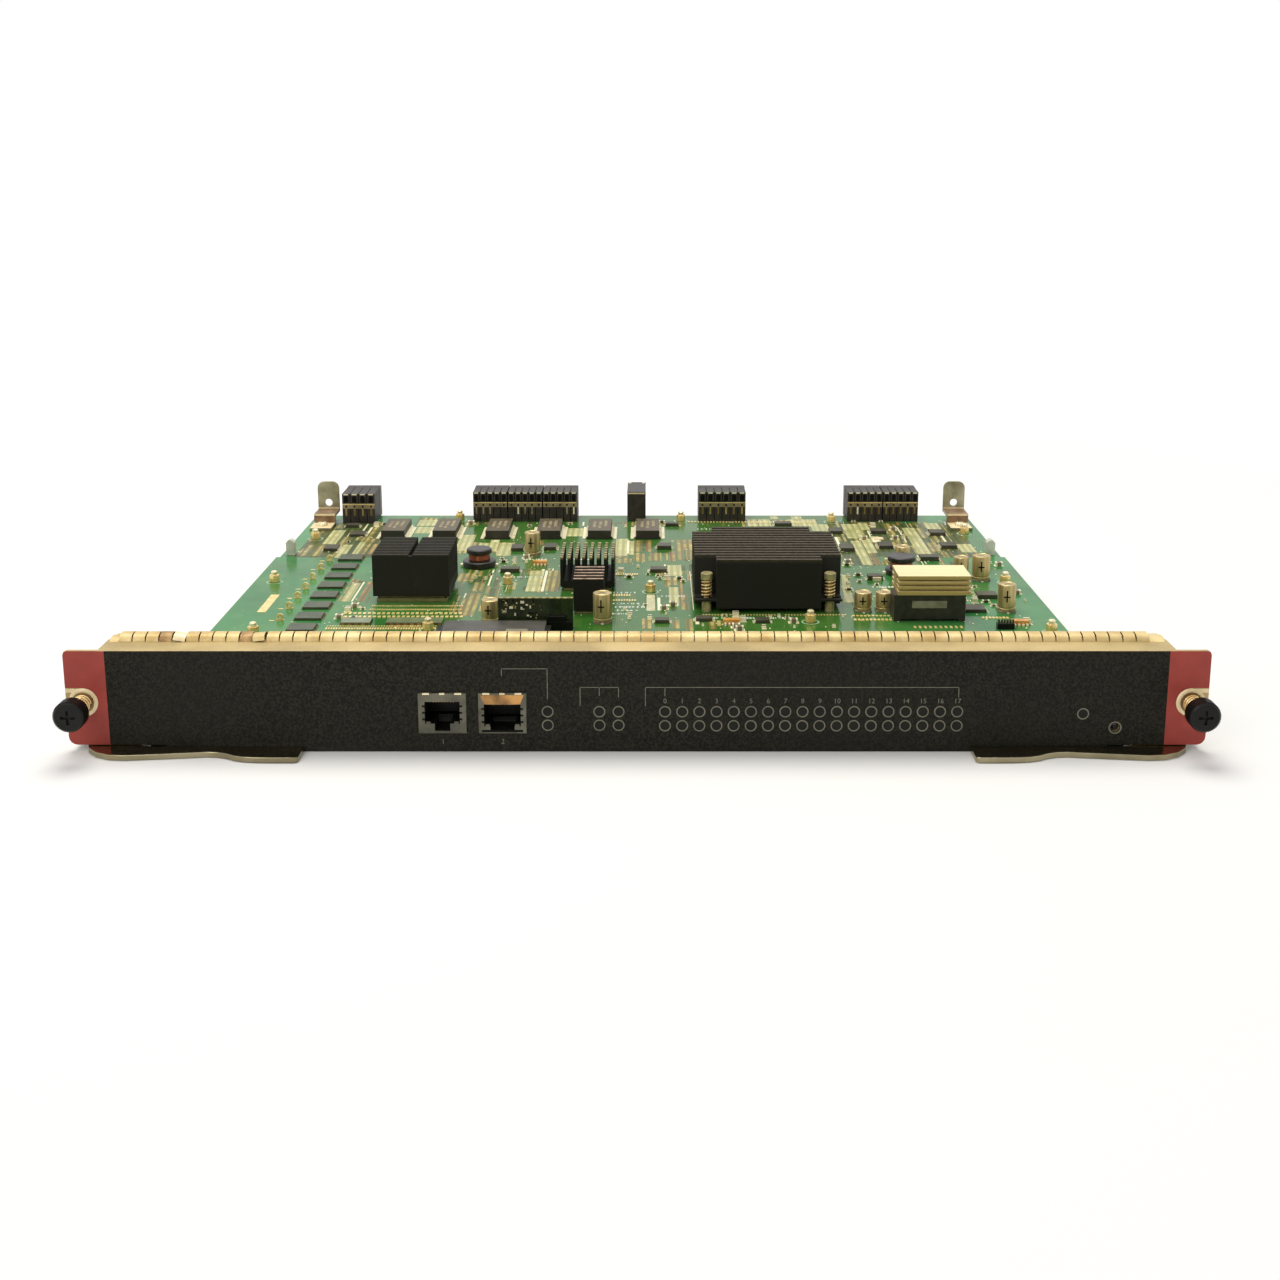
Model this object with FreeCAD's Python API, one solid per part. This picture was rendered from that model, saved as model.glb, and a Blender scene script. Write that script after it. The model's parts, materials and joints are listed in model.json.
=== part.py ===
import FreeCAD, Part
import math
import os

from FreeCAD import Vector

# Main processing unit: a plug-in card for a network chassis.
# Millimetres. X runs along the front panel, Y from the panel to the backplane, Z is up.
# Sizes along Y are written from the panel's front face, and save() centres the card on Y.

# Front panel sheet
panel_width = 399.0
panel_height = 36.9
sheet = 1.6
bend_radius = 0.4
top_flange_half = 187.6
top_flange_depth = 20.6
flange_corner_x = 4.1
flange_corner_y = 7.1
bottom_flange_half = 160.0
bottom_flange_depth = 14.0
lever_relief_half = 165.0
lever_relief_height = 2.5
outer_corner_radius = 3.0
top_corner_radius = 1.4
arc_steps = 4
corner_steps = 2

# Films on the panel
film = 0.25
film_margin = 0.05
red_film_start = 185.0
screw_window_radius = 5.3

# Spring-finger strip on the top flange
finger_pitch = 4.73
finger_count = 77
finger_offset = -1.1
finger_slit = 0.5
finger_front = 10.7
finger_shoulder = 13.0
finger_shoulder_rise = 2.0
finger_crest = 16.0
finger_root = 18.6
finger_rear = 20.5
finger_height = 2.6
strip_stock = 0.2
bent_fingers = (4, 10)
bent_lift = 0.9
end_tab_edge = 186.4
end_tab_rise = 1.1

# Sockets in the panel
jack_middles = {"console": -68.1, "management": -47.1}
jack_width = 16.8
jack_top = 21.7
jack_lip = 7.0
jack_reach = 0.9
jack_rear = 15.6
jack_wall = 0.5
mouth_depth = 12.6
latch_depth = 9.0
latch_low = 7.9
contact_count = 8
contact_pitch = 1.02
contact_width = 0.45
contact_sheet = 0.3
contact_rise = 1.5
contact_front = 3.2
window_gap = 0.2

# Mouths of the sockets: width, low, high, latch width
mouths = {"console": (12.2, 10.6, 18.6, 5.4), "management": (12.8, 9.6, 17.6, 8.4)}

# Indicator lights behind the film
slot_light_first = 9.76
slot_light_pitch = 6.01
slot_light_count = 18
link_light_x = -31.3
fan_lights_x = (-13.2, -6.5)
active_light_x = 156.0
holder_width = 5.4
holder_front = 1.7
holder_rear = 9.2
holder_top = 17.4
active_holder_top = 16.6
window_margin = 0.4

# Reset switch
reset_x = 167.5
reset_z = 8.9
reset_hole_radius = 1.5
plunger_width = 1.6
plunger_clearance = 0.1
plunger_front = 0.1
plunger_rear = 6.5
switch_front = 4.8
switch_rear = 9.2
switch_width = 6.2
switch_height = 3.8
switch_bore_end = 7.7

# Main board
board_top = 7.2
board_sheet = 2.4
board_front = 4.5
board_rear = 345.0
board_half = 181.6
board_rear_half = 179.7
board_step_y = 251.0

# Brackets between panel and board
bracket_middle = 140.0
bracket_width = 20.0
bracket_height = 14.0
bracket_depth = 13.0
screw_shank = 1.45
screw_hole = 1.5
screw_head = 2.75
screw_head_height = 2.0
screw_end = 0.5
round_sides = 8
bracket_screw_y = 10.0

# Ejector levers
lever_low = 0.2
lever_high = 2.2
pivot_x = -186.0
pivot_y = 9.0
pivot_radius = 2.5
pivot_clearance = 0.05
pivot_head_radius = 3.9
pivot_head_gap = 0.4
pivot_head_height = 0.8
pivot_sides = 12
bore_sides = 20
pivot_neck_radius = 1.5
pivot_top_radius = 2.4
pivot_top = 5.1
lever_gap = 0.4
lever_bracket_x = (-198.0, -172.0)
lever_bracket_depth = 18.0
lever_bracket_top = 12.5

# Outline of the left lever from above: three points for each arc, then the hooked nose
lever_bow = ((-194.2, 3.0), (-189.6, -5.4), (-177.3, -9.7))
lever_waist = ((-153.5, -6.9), (-146.5, -6.5), (-139.5, -9.8))
lever_grip = ((-135.7, -11.1), (-131.5, -11.6), (-127.0, -11.8))
lever_corner = ((-118.6, -11.8), (-117.45, -11.35), (-117.0, -10.2))
lever_inner = ((-171.0, -0.65), (-176.4, 2.9), (-178.8, 8.4))
lever_lobe = ((-178.8, 8.4), (-180.9, 14.1), (-186.0, 16.2))
lever_hook = ((-199.0, 15.2), (-199.0, 12.0), (-194.2, 10.4))

# Captive thumbscrews
thumb_x = 193.4
thumb_z = 18.2
knob_radius = 5.5
knob_sides = 16
knob_front = -16.5
knob_rear = -10.2
knob_socket = -13.0
knob_chamfer = 0.6
knob_slot_width = 1.0
knob_slot_depth = 0.9
knob_slot_length = 5.0
thread_radius = 2.0
thread_start = 1.7
thread_end = 7.5
neck_radius = 1.7
neck_sides = 12
screw_clearance = 0.05
ferrule_flange_radius = 3.9
ferrule_flange = 0.9
ferrule_neck_radius = 2.9
ferrule_sides = 16
spring_radius = 3.0
spring_wire = 0.6
spring_turns = 4
spring_sides = 6
spring_gap = 0.05

# Processor heat sink and package
twin_x = (-119.7, -85.4)
twin_y = (167.5, 201.9)
twin_z = (10.1, 29.2)
twin_base = 4.5
twin_channel = 1.8
twin_fins = 12
twin_fin = 1.5
package_inset = 1.4

# Large heat sink with push pins
large_x = (24.4, 89.0)
large_y = (150.2, 213.6)
large_z = (9.2, 31.4)
large_base = 4.2
large_fins = 14
large_fin = 2.3
large_notch_x = 9.3
large_notch_y = 8.4
large_package = 45.0
pin_inset_x = 5.2
pin_inset_y = 4.0
pin_shaft = 1.2
pin_foot = 2.1
pin_cap = 2.6
pin_cap_low = 21.6
pin_cap_high = 24.7
pin_spring_radius = 2.1
pin_spring_wire = 0.6
pin_spring_turns = 3
pin_slot = 2.8
pin_tab = 1.0

# Middle and small heat sinks
middle_x = (-36.6, -11.8)
middle_y = (186.8, 216.7)
middle_z = (9.2, 23.3)
middle_base = 3.0
middle_fins = 8
middle_fin = 1.4
small_x = (-28.9, -15.7)
small_y = (148.9, 171.0)
small_z = (8.6, 23.1)
small_base = 3.0
small_fins = 5
small_fin = 1.7

# Power converter
converter_x = (109.8, 140.6)
converter_y = (137.2, 149.6)
converter_top = 19.0
converter_foot = 1.0
converter_foot_width = 3.0
gold_x = (111.2, 142.4)
gold_y = (136.6, 155.8)
gold_top = 27.6
gold_grooves = 3
gold_groove = 0.9
gold_groove_depth = 6.0

# Capacitors: x, y, radius, height
capacitors = (
    (-15.8, 137.4, 4.1, 13.0), (-64.2, 137.4, 3.9, 10.0), (-54.0, 255.1, 3.85, 12.0),
    (98.6, 154.4, 3.8, 8.7), (108.0, 154.4, 3.8, 8.7), (161.0, 207.6, 4.2, 11.9),
    (161.8, 154.0, 3.95, 12.5), (151.0, 205.0, 3.5, 11.9), (127.5, 231.5, 3.6, 10.5))
capacitor_base = 0.8
capacitor_sides = 10

# Drum inductors: x, y, base radius, core radius, top radius
inductors = ((-78.5, 233.3, 8.0, 5.2, 6.1), (125.0, 218.3, 7.6, 5.4, 6.7))
inductor_base = 3.2
inductor_core = 6.6
inductor_height = 9.0
inductor_sides = 12

# Rear transformers and memory chips
transformer_xs = (-129.2, -102.4, -74.8, -48.1, -21.6, 3.5)
transformer_width = 12.2
transformer_y = (288.6, 316.6)
transformer_height = 4.8
memory_x = (-149.2, -137.7)
memory_first = 121.1
memory_pitch = 17.3
memory_count = 8
memory_depth = 10.2
memory_height = 1.2

# Flat chips: middle x, middle y, width, depth, height
flat_chips = (
    (-121.8, 135.8, 13.0, 8.0, 1.1), (-96.7, 135.8, 24.2, 8.0, 1.1), (8.8, 223.0, 8.0, 6.0, 1.8),
    (104.7, 267.0, 7.0, 9.0, 1.8), (124.8, 272.0, 7.0, 9.0, 1.8), (156.0, 300.5, 8.0, 8.0, 1.8),
    (157.0, 272.0, 8.0, 8.0, 1.8), (142.8, 245.5, 9.0, 6.0, 2.2), (157.5, 176.5, 9.0, 7.0, 2.0),
    (148.0, 155.0, 9.0, 9.0, 1.6), (-156.8, 267.0, 7.0, 9.0, 1.6), (-148.9, 298.5, 8.0, 8.0, 1.4),
    (-62.5, 267.0, 6.0, 9.0, 1.8), (-46.0, 269.0, 6.0, 9.0, 1.8))

# Upright daughter card and its socket
riser_x = (-59.8, -28.0)
riser_y = 126.4
riser_sheet = 1.6
riser_top = 21.0
riser_gap = 1.0
riser_socket_height = 4.0
riser_socket_reach = 2.2
riser_part_x = (-39.1, -31.1)
riser_part_z = (11.4, 13.6)
riser_part_depth = 2.6

# Flat memory card and its socket
card_x = (-81.8, -39.0)
card_y = (86.2, 122.6)
card_z = (8.7, 12.0)
card_rail = 2.4
card_header = 7.0

# Rear connectors: first x, modules, columns in a module, module width, front
connectors = {
    "rear_connector_far_left": (-161.9, 1, 4, 18.2, 325.7),
    "rear_connector_left": (-91.5, 3, 5, 19.0, 330.0),
    "rear_connector_right": (31.2, 1, 6, 26.0, 330.0),
    "rear_connector_far_right": (112.0, 2, 5, 19.5, 330.0)}
connector_hood = 343.0
connector_rear = 349.0
connector_top = 23.5
connector_wafer_gap = 0.3
module_gap = 0.3
guide_x = (-7.6, 2.4)
guide_y = (331.0, 358.5)
guide_top = 23.4
guide_bore_radius = 2.6
guide_bore_depth = 20.0
guide_bore_z = 15.6

# Rear tabs
tab_middle = 170.6
tab_width = 11.6
tab_sheet = 1.5
tab_plate_y = 334.0
tab_fold_z = 13.4
tab_top = 28.6
tab_shelf_front = 321.0
tab_foot_front = 308.0
tab_hole_radius = 2.0
tab_hole_z = 17.0
tab_corner_radius = 3.5
tab_screw_y = 314.0

# Standoffs and edge posts
standoffs = (
    (-171.8, 203.1), (171.3, 201.3), (174.2, 121.7), (-162.1, 118.2), (-61.9, 199.5), (4.9, 185.4),
    (-99.1, 334.0), (21.6, 331.5), (103.2, 329.1), (73.8, 136.6), (-89.5, 124.6), (-169.5, 289.6),
    (170.7, 301.3))
hexagon_sides = 6
standoff_across_corners = 4.9
standoff_height = 3.6
standoff_stem_radius = 1.5
standoff_stem_height = 5.4
post_middle = 175.0
post_y = (253.6, 257.8)
post_width = 4.4
post_height = 8.1
post_chamfer = 1.5

card_middle = (knob_front + guide_y[1]) / 2


def block(x_span, y_span, z_span):
    spans = (x_span, y_span, z_span)
    size = [high - low for low, high in spans]
    return Part.makeBox(*size, Vector(*[low for low, high in spans]))


def around(middle, width):
    return (middle - width / 2, middle + width / 2)


def upright(x, y, radius, z_span):
    return Part.makeCylinder(radius, z_span[1] - z_span[0], Vector(x, y, z_span[0]))


def along_y(x, z, radius, y_span):
    return Part.makeCylinder(radius, y_span[1] - y_span[0], Vector(x, y_span[0], z), Vector(0, 1, 0))


def polygon_face(points):
    return Part.Face(Part.makePolygon(points + points[:1]))


def side_profile(points, x_span):
    # a Y-Z outline carried along X
    face = polygon_face([Vector(x_span[0], y, z) for y, z in points])
    return face.extrude(Vector(x_span[1] - x_span[0], 0, 0))


def front_outline(points, y_span):
    # an X-Z outline carried along Y
    face = polygon_face([Vector(x, y_span[0], z) for x, z in points])
    return face.extrude(Vector(0, y_span[1] - y_span[0], 0))


def plan_outline(points, z_span):
    # an X-Y outline carried along Z
    face = polygon_face([Vector(x, y, z_span[0]) for x, y in points])
    return face.extrude(Vector(0, 0, z_span[1] - z_span[0]))


def ring_points(count, radius):
    turns = [2 * math.pi * i / count for i in range(count)]
    return [(radius * math.cos(turn), radius * math.sin(turn)) for turn in turns]


def arc_points(middle, radius, first, last, steps):
    # points on an arc between two angles in degrees
    turns = [math.radians(first + (last - first) * i / steps) for i in range(steps + 1)]
    return [(middle[0] + radius * math.cos(turn), middle[1] + radius * math.sin(turn)) for turn in turns]


def post(x, y, radius, z_span, sides=round_sides):
    return plan_outline([(x + dx, y + dy) for dx, dy in ring_points(sides, radius)], z_span)


def dowel(x, z, radius, y_span, sides=round_sides):
    return front_outline([(x + dx, z + dz) for dx, dz in ring_points(sides, radius)], y_span)


def around_shaft(radius, sides):
    # corner radius of a many-sided bore whose flats stand clear of a shaft
    return radius / math.cos(math.pi / sides)


def mirrored(shape):
    return shape.mirror(Vector(0, 0, 0), Vector(1, 0, 0))


def save(node, shape):
    placed = shape.copy()
    placed.translate(Vector(0, -card_middle, 0))
    placed.exportStep(f"parts/{node}.step")


def tee_mouth(name, y_span, latch_end):
    # the socket's mouth with the latch slot below it
    middle = jack_middles[name]
    width, low, high, latch_width = mouths[name]
    wide = block(around(middle, width), y_span, (low, high))
    return wide.fuse(block(around(middle, latch_width), (y_span[0], latch_end), (latch_low, low)))


def jack_window(middle, y_span):
    spread = jack_width + 2 * window_gap
    return block(around(middle, spread), y_span, (jack_lip - window_gap, jack_top + window_gap))


def light_bars():
    # first and last column and the top of each light bar
    last_slot = slot_light_first + (slot_light_count - 1) * slot_light_pitch
    return ((link_light_x, link_light_x, holder_top), (*fan_lights_x, holder_top),
            (slot_light_first, last_slot, holder_top), (active_light_x, active_light_x, active_holder_top))


def light_bar(first, last, top, grow, y_span):
    x_span = (first - holder_width / 2 - grow, last + holder_width / 2 + grow)
    return block(x_span, y_span, (board_top, top + grow))


def flange_corner():
    # the wedge taken off the right rear corner of the top flange
    side, rear = top_flange_half, top_flange_depth
    points = [(side, rear - flange_corner_y), (side + flange_corner_x, rear + flange_corner_y),
              (side - flange_corner_x, rear)]
    return plan_outline(points, (panel_height - 2 * sheet, panel_height + sheet))


def front_panel():
    # folded channel with a flat ear at each end
    s, r, h = sheet, bend_radius, panel_height
    section = [(bottom_flange_depth, 0), *arc_points((r, r), r, 270, 180, arc_steps),
               *arc_points((r, h - r), r, 180, 90, arc_steps), (top_flange_depth, h),
               (top_flange_depth, h - s), (s, h - s), (s, s), (bottom_flange_depth, s)]
    panel = side_profile(section, (-top_flange_half, top_flange_half))
    half, low = panel_width / 2, lever_relief_height
    foot, shoulder = outer_corner_radius, top_corner_radius
    outline = [(top_flange_half, low), *arc_points((half - foot, low + foot), foot, 270, 360, arc_steps),
               *arc_points((half - shoulder, h - shoulder), shoulder, 0, 90, corner_steps),
               (top_flange_half, h)]
    ear = front_outline(outline, (0, s))
    panel = panel.fuse([ear, mirrored(ear)])
    corner = flange_corner()
    panel = panel.cut(corner).cut(mirrored(corner))
    through = (-s, 2 * s)
    for side in (-1, 1):
        relief = sorted((side * lever_relief_half, side * panel_width))
        panel = panel.cut(block(relief, (-s, panel_width), (-s, low)))
        trim = sorted((side * bottom_flange_half, side * panel_width))
        panel = panel.cut(block(trim, (s, panel_width), (-s, s)))
        panel = panel.cut(dowel(side * thumb_x, thumb_z, ferrule_neck_radius, through))
    for middle in jack_middles.values():
        panel = panel.cut(jack_window(middle, through))
    for first, last, top in light_bars():
        panel = panel.cut(light_bar(first, last, top, window_margin, through))
    panel = panel.cut(dowel(reset_x, reset_z, reset_hole_radius, through))
    return panel.removeSplitter()


def front_film():
    low, high = film_margin, panel_height - film_margin
    step = lever_relief_height + film_margin
    edge, notch = red_film_start, lever_relief_half
    outline = [(-edge, step), (-notch, step), (-notch, low), (notch, low), (notch, step), (edge, step),
               (edge, high), (-edge, high)]
    skin = front_outline(outline, (-film, 0))
    for middle in jack_middles.values():
        skin = skin.cut(jack_window(middle, (-sheet, sheet)))
    return skin.cut(dowel(reset_x, reset_z, reset_hole_radius, (-sheet, sheet)))


def end_film():
    # right-hand red film: the screw's window is open to the outer edge
    outer = panel_width / 2 - film_margin
    low = lever_relief_height + film_margin
    top = panel_height - film_margin
    foot, shoulder, window = outer_corner_radius, top_corner_radius, screw_window_radius
    outline = [(red_film_start, low), *arc_points((outer - foot, low + foot), foot, 270, 360, arc_steps),
               (outer, thumb_z - window), *arc_points((thumb_x, thumb_z), window, 270, 90, 2 * arc_steps),
               (outer, thumb_z + window),
               *arc_points((outer - shoulder, top - shoulder), shoulder, 0, 90, corner_steps),
               (red_film_start, top)]
    return front_outline(outline, (-film, 0))


def finger_section(lift):
    # one arched finger, from its free front tip back to the strip it springs from
    base, stock = panel_height, strip_stock
    shoulder = base + finger_shoulder_rise + lift
    crest = base + finger_height + lift / 2
    outer = [(finger_front, base + lift), (finger_shoulder, shoulder), (finger_crest, crest),
             (finger_root, base + stock)]
    inner = [(finger_root, base), (finger_crest, crest - stock),
             (finger_shoulder + stock / 2, shoulder - stock)]
    return outer, inner


def contact_strip():
    length = finger_pitch * finger_count
    first = finger_offset - length / 2
    last = first + length
    base = panel_height
    outer, inner = finger_section(0)
    band = [(finger_rear, base + strip_stock), (finger_rear, base)]
    strip = side_profile(outer + band + inner, (first, last))
    tab = [(finger_front, base), (finger_shoulder, base + end_tab_rise), (finger_crest, base + end_tab_rise),
           (finger_root, base + strip_stock), *band]
    tabs = [side_profile(tab, x_span) for x_span in ((-end_tab_edge, first), (last, end_tab_edge))]
    slit_high = panel_height + 2 * finger_height
    gaps = []
    for i in range(finger_count + 1):
        x_span = around(first + i * finger_pitch, finger_slit)
        gaps.append(block(x_span, (0, finger_root), (0, slit_high)))
    fingers = []
    for i in bent_fingers:
        x_span = around(first + (i + 0.5) * finger_pitch, finger_pitch - finger_slit)
        gaps.append(block(x_span, (0, finger_root), (0, slit_high)))
        outer, inner = finger_section(bent_lift)
        fingers.append(side_profile(outer + inner, x_span))
    return strip.cut(Part.makeCompound(gaps)).fuse(fingers + tabs).removeSplitter()


def jack_shield(name):
    middle = jack_middles[name]
    body = block(around(middle, jack_width), (-jack_reach, jack_rear), (board_top, jack_top))
    lip = block(around(middle, jack_width), (-jack_reach, board_front - window_gap), (jack_lip, board_top))
    hollow_y = (jack_wall - jack_reach, jack_rear - jack_wall)
    hollow = block(around(middle, jack_width - 2 * jack_wall), hollow_y, (jack_lip, jack_top - jack_wall))
    mouth = tee_mouth(name, (-2 * jack_reach, 0), 0)
    return body.fuse(lip).cut(hollow).cut(mouth).removeSplitter()


def jack_insert(name):
    x_span = around(jack_middles[name], jack_width - 2 * jack_wall)
    y_span = (jack_wall - jack_reach, jack_rear - jack_wall)
    body = block(x_span, y_span, (board_top, jack_top - jack_wall))
    return body.cut(tee_mouth(name, (-jack_reach, mouth_depth), latch_depth)).removeSplitter()


def jack_contacts():
    # flat blades that slope down from the roof of each mouth towards its front
    blades = []
    for name, middle in jack_middles.items():
        high = mouths[name][2]
        tip = high - contact_rise
        section = [(contact_front, tip), (mouth_depth, high - contact_sheet), (mouth_depth, high),
                   (contact_front, tip + contact_sheet)]
        for i in range(contact_count):
            x = middle + (i - (contact_count - 1) / 2) * contact_pitch
            blades.append(side_profile(section, around(x, contact_width)))
    return Part.makeCompound(blades)


def light_holders():
    y_span = (holder_front, holder_rear)
    return Part.makeCompound([light_bar(first, last, top, 0, y_span) for first, last, top in light_bars()])


def plunger(grow, y_span):
    width = plunger_width + grow
    return block(around(reset_x, width), y_span, around(reset_z, width))


def reset_switch():
    z_span = (board_top, board_top + switch_height)
    body = block(around(reset_x, switch_width), (switch_front, switch_rear), z_span)
    return body.cut(plunger(2 * plunger_clearance, (0, switch_bore_end)))


def reset_button():
    return plunger(0, (plunger_front, plunger_rear))


def main_board():
    low = board_top - board_sheet
    front = block(around(0, 2 * board_half), (board_front, board_step_y), (low, board_top))
    rear = block(around(0, 2 * board_rear_half), (board_step_y, board_rear), (low, board_top))
    board = front.fuse(rear).removeSplitter()
    for side in (-1, 1):
        board = board.cut(post(side * bracket_middle, bracket_screw_y, screw_hole, (0, panel_height)))
        board = board.cut(post(side * tab_middle, tab_screw_y, screw_hole, (0, panel_height)))
    return board


def board_bracket():
    # right-hand angle: one leg on the board, the other welded behind the panel
    x_span = around(bracket_middle, bracket_width)
    foot = block(x_span, (sheet, sheet + bracket_depth), (board_top, board_top + sheet))
    leg = block(x_span, (sheet, 2 * sheet), (board_top, board_top + bracket_height))
    angle = foot.fuse(leg).removeSplitter()
    return angle.cut(post(bracket_middle, bracket_screw_y, screw_hole, (0, panel_height)))


def board_screw(x, y, seat):
    shank = post(x, y, screw_shank, (board_top - board_sheet - screw_end, seat))
    return shank.fuse(post(x, y, screw_head, (seat, seat + screw_head_height)))


def lever():
    # left-hand lever: handle, waist, arm, pivot lobe and hooked nose
    def arc(points):
        curve = Part.Arc(*[Vector(x, y, 0) for x, y in points]).toShape()
        return [(point.x, point.y) for point in curve.discretize(arc_steps + 1)]

    outer = arc(lever_bow) + arc(lever_waist) + arc(lever_grip) + arc(lever_corner)
    inner_end = (lever_corner[-1][0], -film - lever_gap)
    outline = outer + [inner_end] + arc(lever_inner) + arc(lever_lobe)[1:] + list(lever_hook)
    plate = plan_outline(outline, (lever_low, lever_high))
    bore_radius = around_shaft(pivot_radius + pivot_clearance, bore_sides)
    bore = post(pivot_x, pivot_y, bore_radius, (-sheet, 2 * sheet), bore_sides)
    seat_top = lever_low + pivot_head_height + 2 * pivot_clearance
    seat = post(pivot_x, pivot_y, pivot_head_radius + pivot_head_gap, (-sheet, seat_top), pivot_sides)
    return plate.cut(bore).cut(seat)


def lever_pivot():
    # shoulder rivet: flat head under the lever, peened over the bracket
    head_top = lever_low + pivot_head_height
    plate_top = lever_relief_height + sheet
    head = post(pivot_x, pivot_y, pivot_head_radius, (lever_low, head_top), pivot_sides)
    shoulder = upright(pivot_x, pivot_y, pivot_radius, (head_top, lever_relief_height))
    neck = post(pivot_x, pivot_y, pivot_neck_radius, (lever_relief_height, plate_top))
    return head.fuse([shoulder, neck, post(pivot_x, pivot_y, pivot_top_radius, (plate_top, pivot_top))])


def lever_bracket():
    plate_z = (lever_relief_height, lever_relief_height + sheet)
    plate = block(lever_bracket_x, (sheet, lever_bracket_depth), plate_z)
    leg = block(lever_bracket_x, (sheet, 2 * sheet), (lever_relief_height, lever_bracket_top))
    angle = plate.fuse(leg).removeSplitter()
    return angle.cut(post(pivot_x, pivot_y, pivot_neck_radius, (0, panel_height)))


def thumb_knob():
    # right-hand knob: flats for grip, a chamfered rim, a cross recess, a socket for the screw
    def rim(y, radius):
        points = [Vector(thumb_x + x, y, thumb_z + z) for x, z in ring_points(knob_sides, radius)]
        return Part.makePolygon(points + points[:1])

    narrow = knob_radius - knob_chamfer
    shoulder = rim(knob_front + knob_chamfer, knob_radius)
    body = Part.makeLoft([rim(knob_front, narrow), shoulder, rim(knob_rear, knob_radius)], True, True)
    recess_y = (knob_front, knob_front + knob_slot_depth)
    for width, height in ((knob_slot_length, knob_slot_width), (knob_slot_width, knob_slot_length)):
        body = body.cut(block(around(thumb_x, width), recess_y, around(thumb_z, height)))
    return body.cut(dowel(thumb_x, thumb_z, neck_radius, (knob_socket, knob_rear), neck_sides))


def thumb_screw():
    # slim neck through the ferrule, and a thread too wide to pass back through it
    neck = dowel(thumb_x, thumb_z, neck_radius, (knob_socket, thread_start), neck_sides)
    return neck.fuse(along_y(thumb_x, thumb_z, thread_radius, (thread_start, thread_end)))


def thumb_ferrule():
    flange = dowel(thumb_x, thumb_z, ferrule_flange_radius, (-ferrule_flange, 0), ferrule_sides)
    neck = dowel(thumb_x, thumb_z, ferrule_neck_radius, (-ferrule_flange, sheet))
    bore_radius = around_shaft(neck_radius + screw_clearance, ferrule_sides)
    return flange.fuse(neck).cut(dowel(thumb_x, thumb_z, bore_radius, (-sheet, 2 * sheet), ferrule_sides))


def coil(radius, wire, turns, length):
    # wire coil along +Z, its ends flush with the planes it sits between
    steps = round(turns * spring_sides)
    rings = []
    for i in range(steps + 1):
        turn = 2 * math.pi * i / spring_sides
        lift = wire / 2 + (length - wire) * i / steps
        outer = radius + wire / 4
        corners = ((radius - wire / 2, lift), (outer, lift - wire / 2), (outer, lift + wire / 2))
        rings.append([Vector(reach * math.cos(turn), reach * math.sin(turn), z) for reach, z in corners])
    faces = [polygon_face(rings[0]), polygon_face(rings[-1])]
    for low, high in zip(rings, rings[1:]):
        for i in range(len(low)):
            a, b = i - 1, i
            faces.append(polygon_face([low[a], low[b], high[b]]))
            faces.append(polygon_face([low[a], high[b], high[a]]))
    return Part.Solid(Part.Shell(faces))


def chip_package(x_span, y_span, top, inset):
    # a substrate and a smaller lid under a sink
    def shrunk(step):
        return [(low + step * inset, high - step * inset) for low, high in (x_span, y_span)]

    substrate_top = board_top + (top - board_top) / 2
    return block(*shrunk(1), (board_top, substrate_top)).fuse(block(*shrunk(2), (substrate_top, top)))


def chip_packages():
    under = [around(sum(span) / 2, large_package) for span in (large_x, large_y)]
    inset = package_inset
    return Part.makeCompound([
        chip_package(twin_x, twin_y, twin_z[0], inset), chip_package(*under, large_z[0], inset),
        chip_package(middle_x, middle_y, middle_z[0], inset),
        chip_package(small_x, small_y, small_z[0], inset / 2)])


def fin_rows(span, count, thickness):
    # low and high face of each fin, the end fins flush with the ends of the span
    step = (span[1] - span[0] - thickness) / (count - 1)
    return [(span[0] + i * step, span[0] + i * step + thickness) for i in range(count)]


def twin_heat_sink():
    base_top = twin_z[0] + twin_base
    sink = block(twin_x, twin_y, (twin_z[0], base_top))
    middle = sum(twin_x) / 2
    halves = ((twin_x[0], middle - twin_channel / 2), (middle + twin_channel / 2, twin_x[1]))
    rows = fin_rows(twin_y, twin_fins, twin_fin)
    return sink.fuse([block(half, row, (base_top, twin_z[1])) for half in halves for row in rows])


def push_pin_places():
    xs = (large_x[0] + pin_inset_x, large_x[1] - pin_inset_x)
    ys = (large_y[0] + pin_inset_y, large_y[1] - pin_inset_y)
    return [(x, y) for x in xs for y in ys]


def large_heat_sink():
    base_top = large_z[0] + large_base
    sink = block(large_x, large_y, (large_z[0], base_top))
    narrow = (large_x[0] + large_notch_x, large_x[1] - large_notch_x)
    fins = []
    for row in fin_rows(large_y, large_fins, large_fin):
        beside_pins = row[0] < large_y[0] + large_notch_y or row[1] > large_y[1] - large_notch_y
        fins.append(block(narrow if beside_pins else large_x, row, (base_top, large_z[1])))
    sink = sink.fuse(fins)
    centre_x, centre_y = sum(large_x) / 2, sum(large_y) / 2
    for x, y in push_pin_places():
        side, side_in = (large_x[0], large_notch_x) if x < centre_x else (large_x[1], -large_notch_x)
        end, end_in = (large_y[0], large_notch_y) if y < centre_y else (large_y[1], -large_notch_y)
        under = (large_z[0], base_top - pin_tab)
        sink = sink.cut(block(sorted((side, side + side_in)), sorted((end, end + end_in)), under))
        sink = sink.cut(block(sorted((side, x)), around(y, pin_slot), large_z))
        sink = sink.cut(block(around(x, pin_slot), around(y, pin_slot), large_z))
    return sink.removeSplitter()


def push_pin(x, y):
    tab_low = large_z[0] + large_base - pin_tab
    foot = post(x, y, pin_foot, (board_top, tab_low))
    shaft = post(x, y, pin_shaft, (tab_low, pin_cap_low))
    return foot.fuse([shaft, post(x, y, pin_cap, (pin_cap_low, pin_cap_high))])


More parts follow.
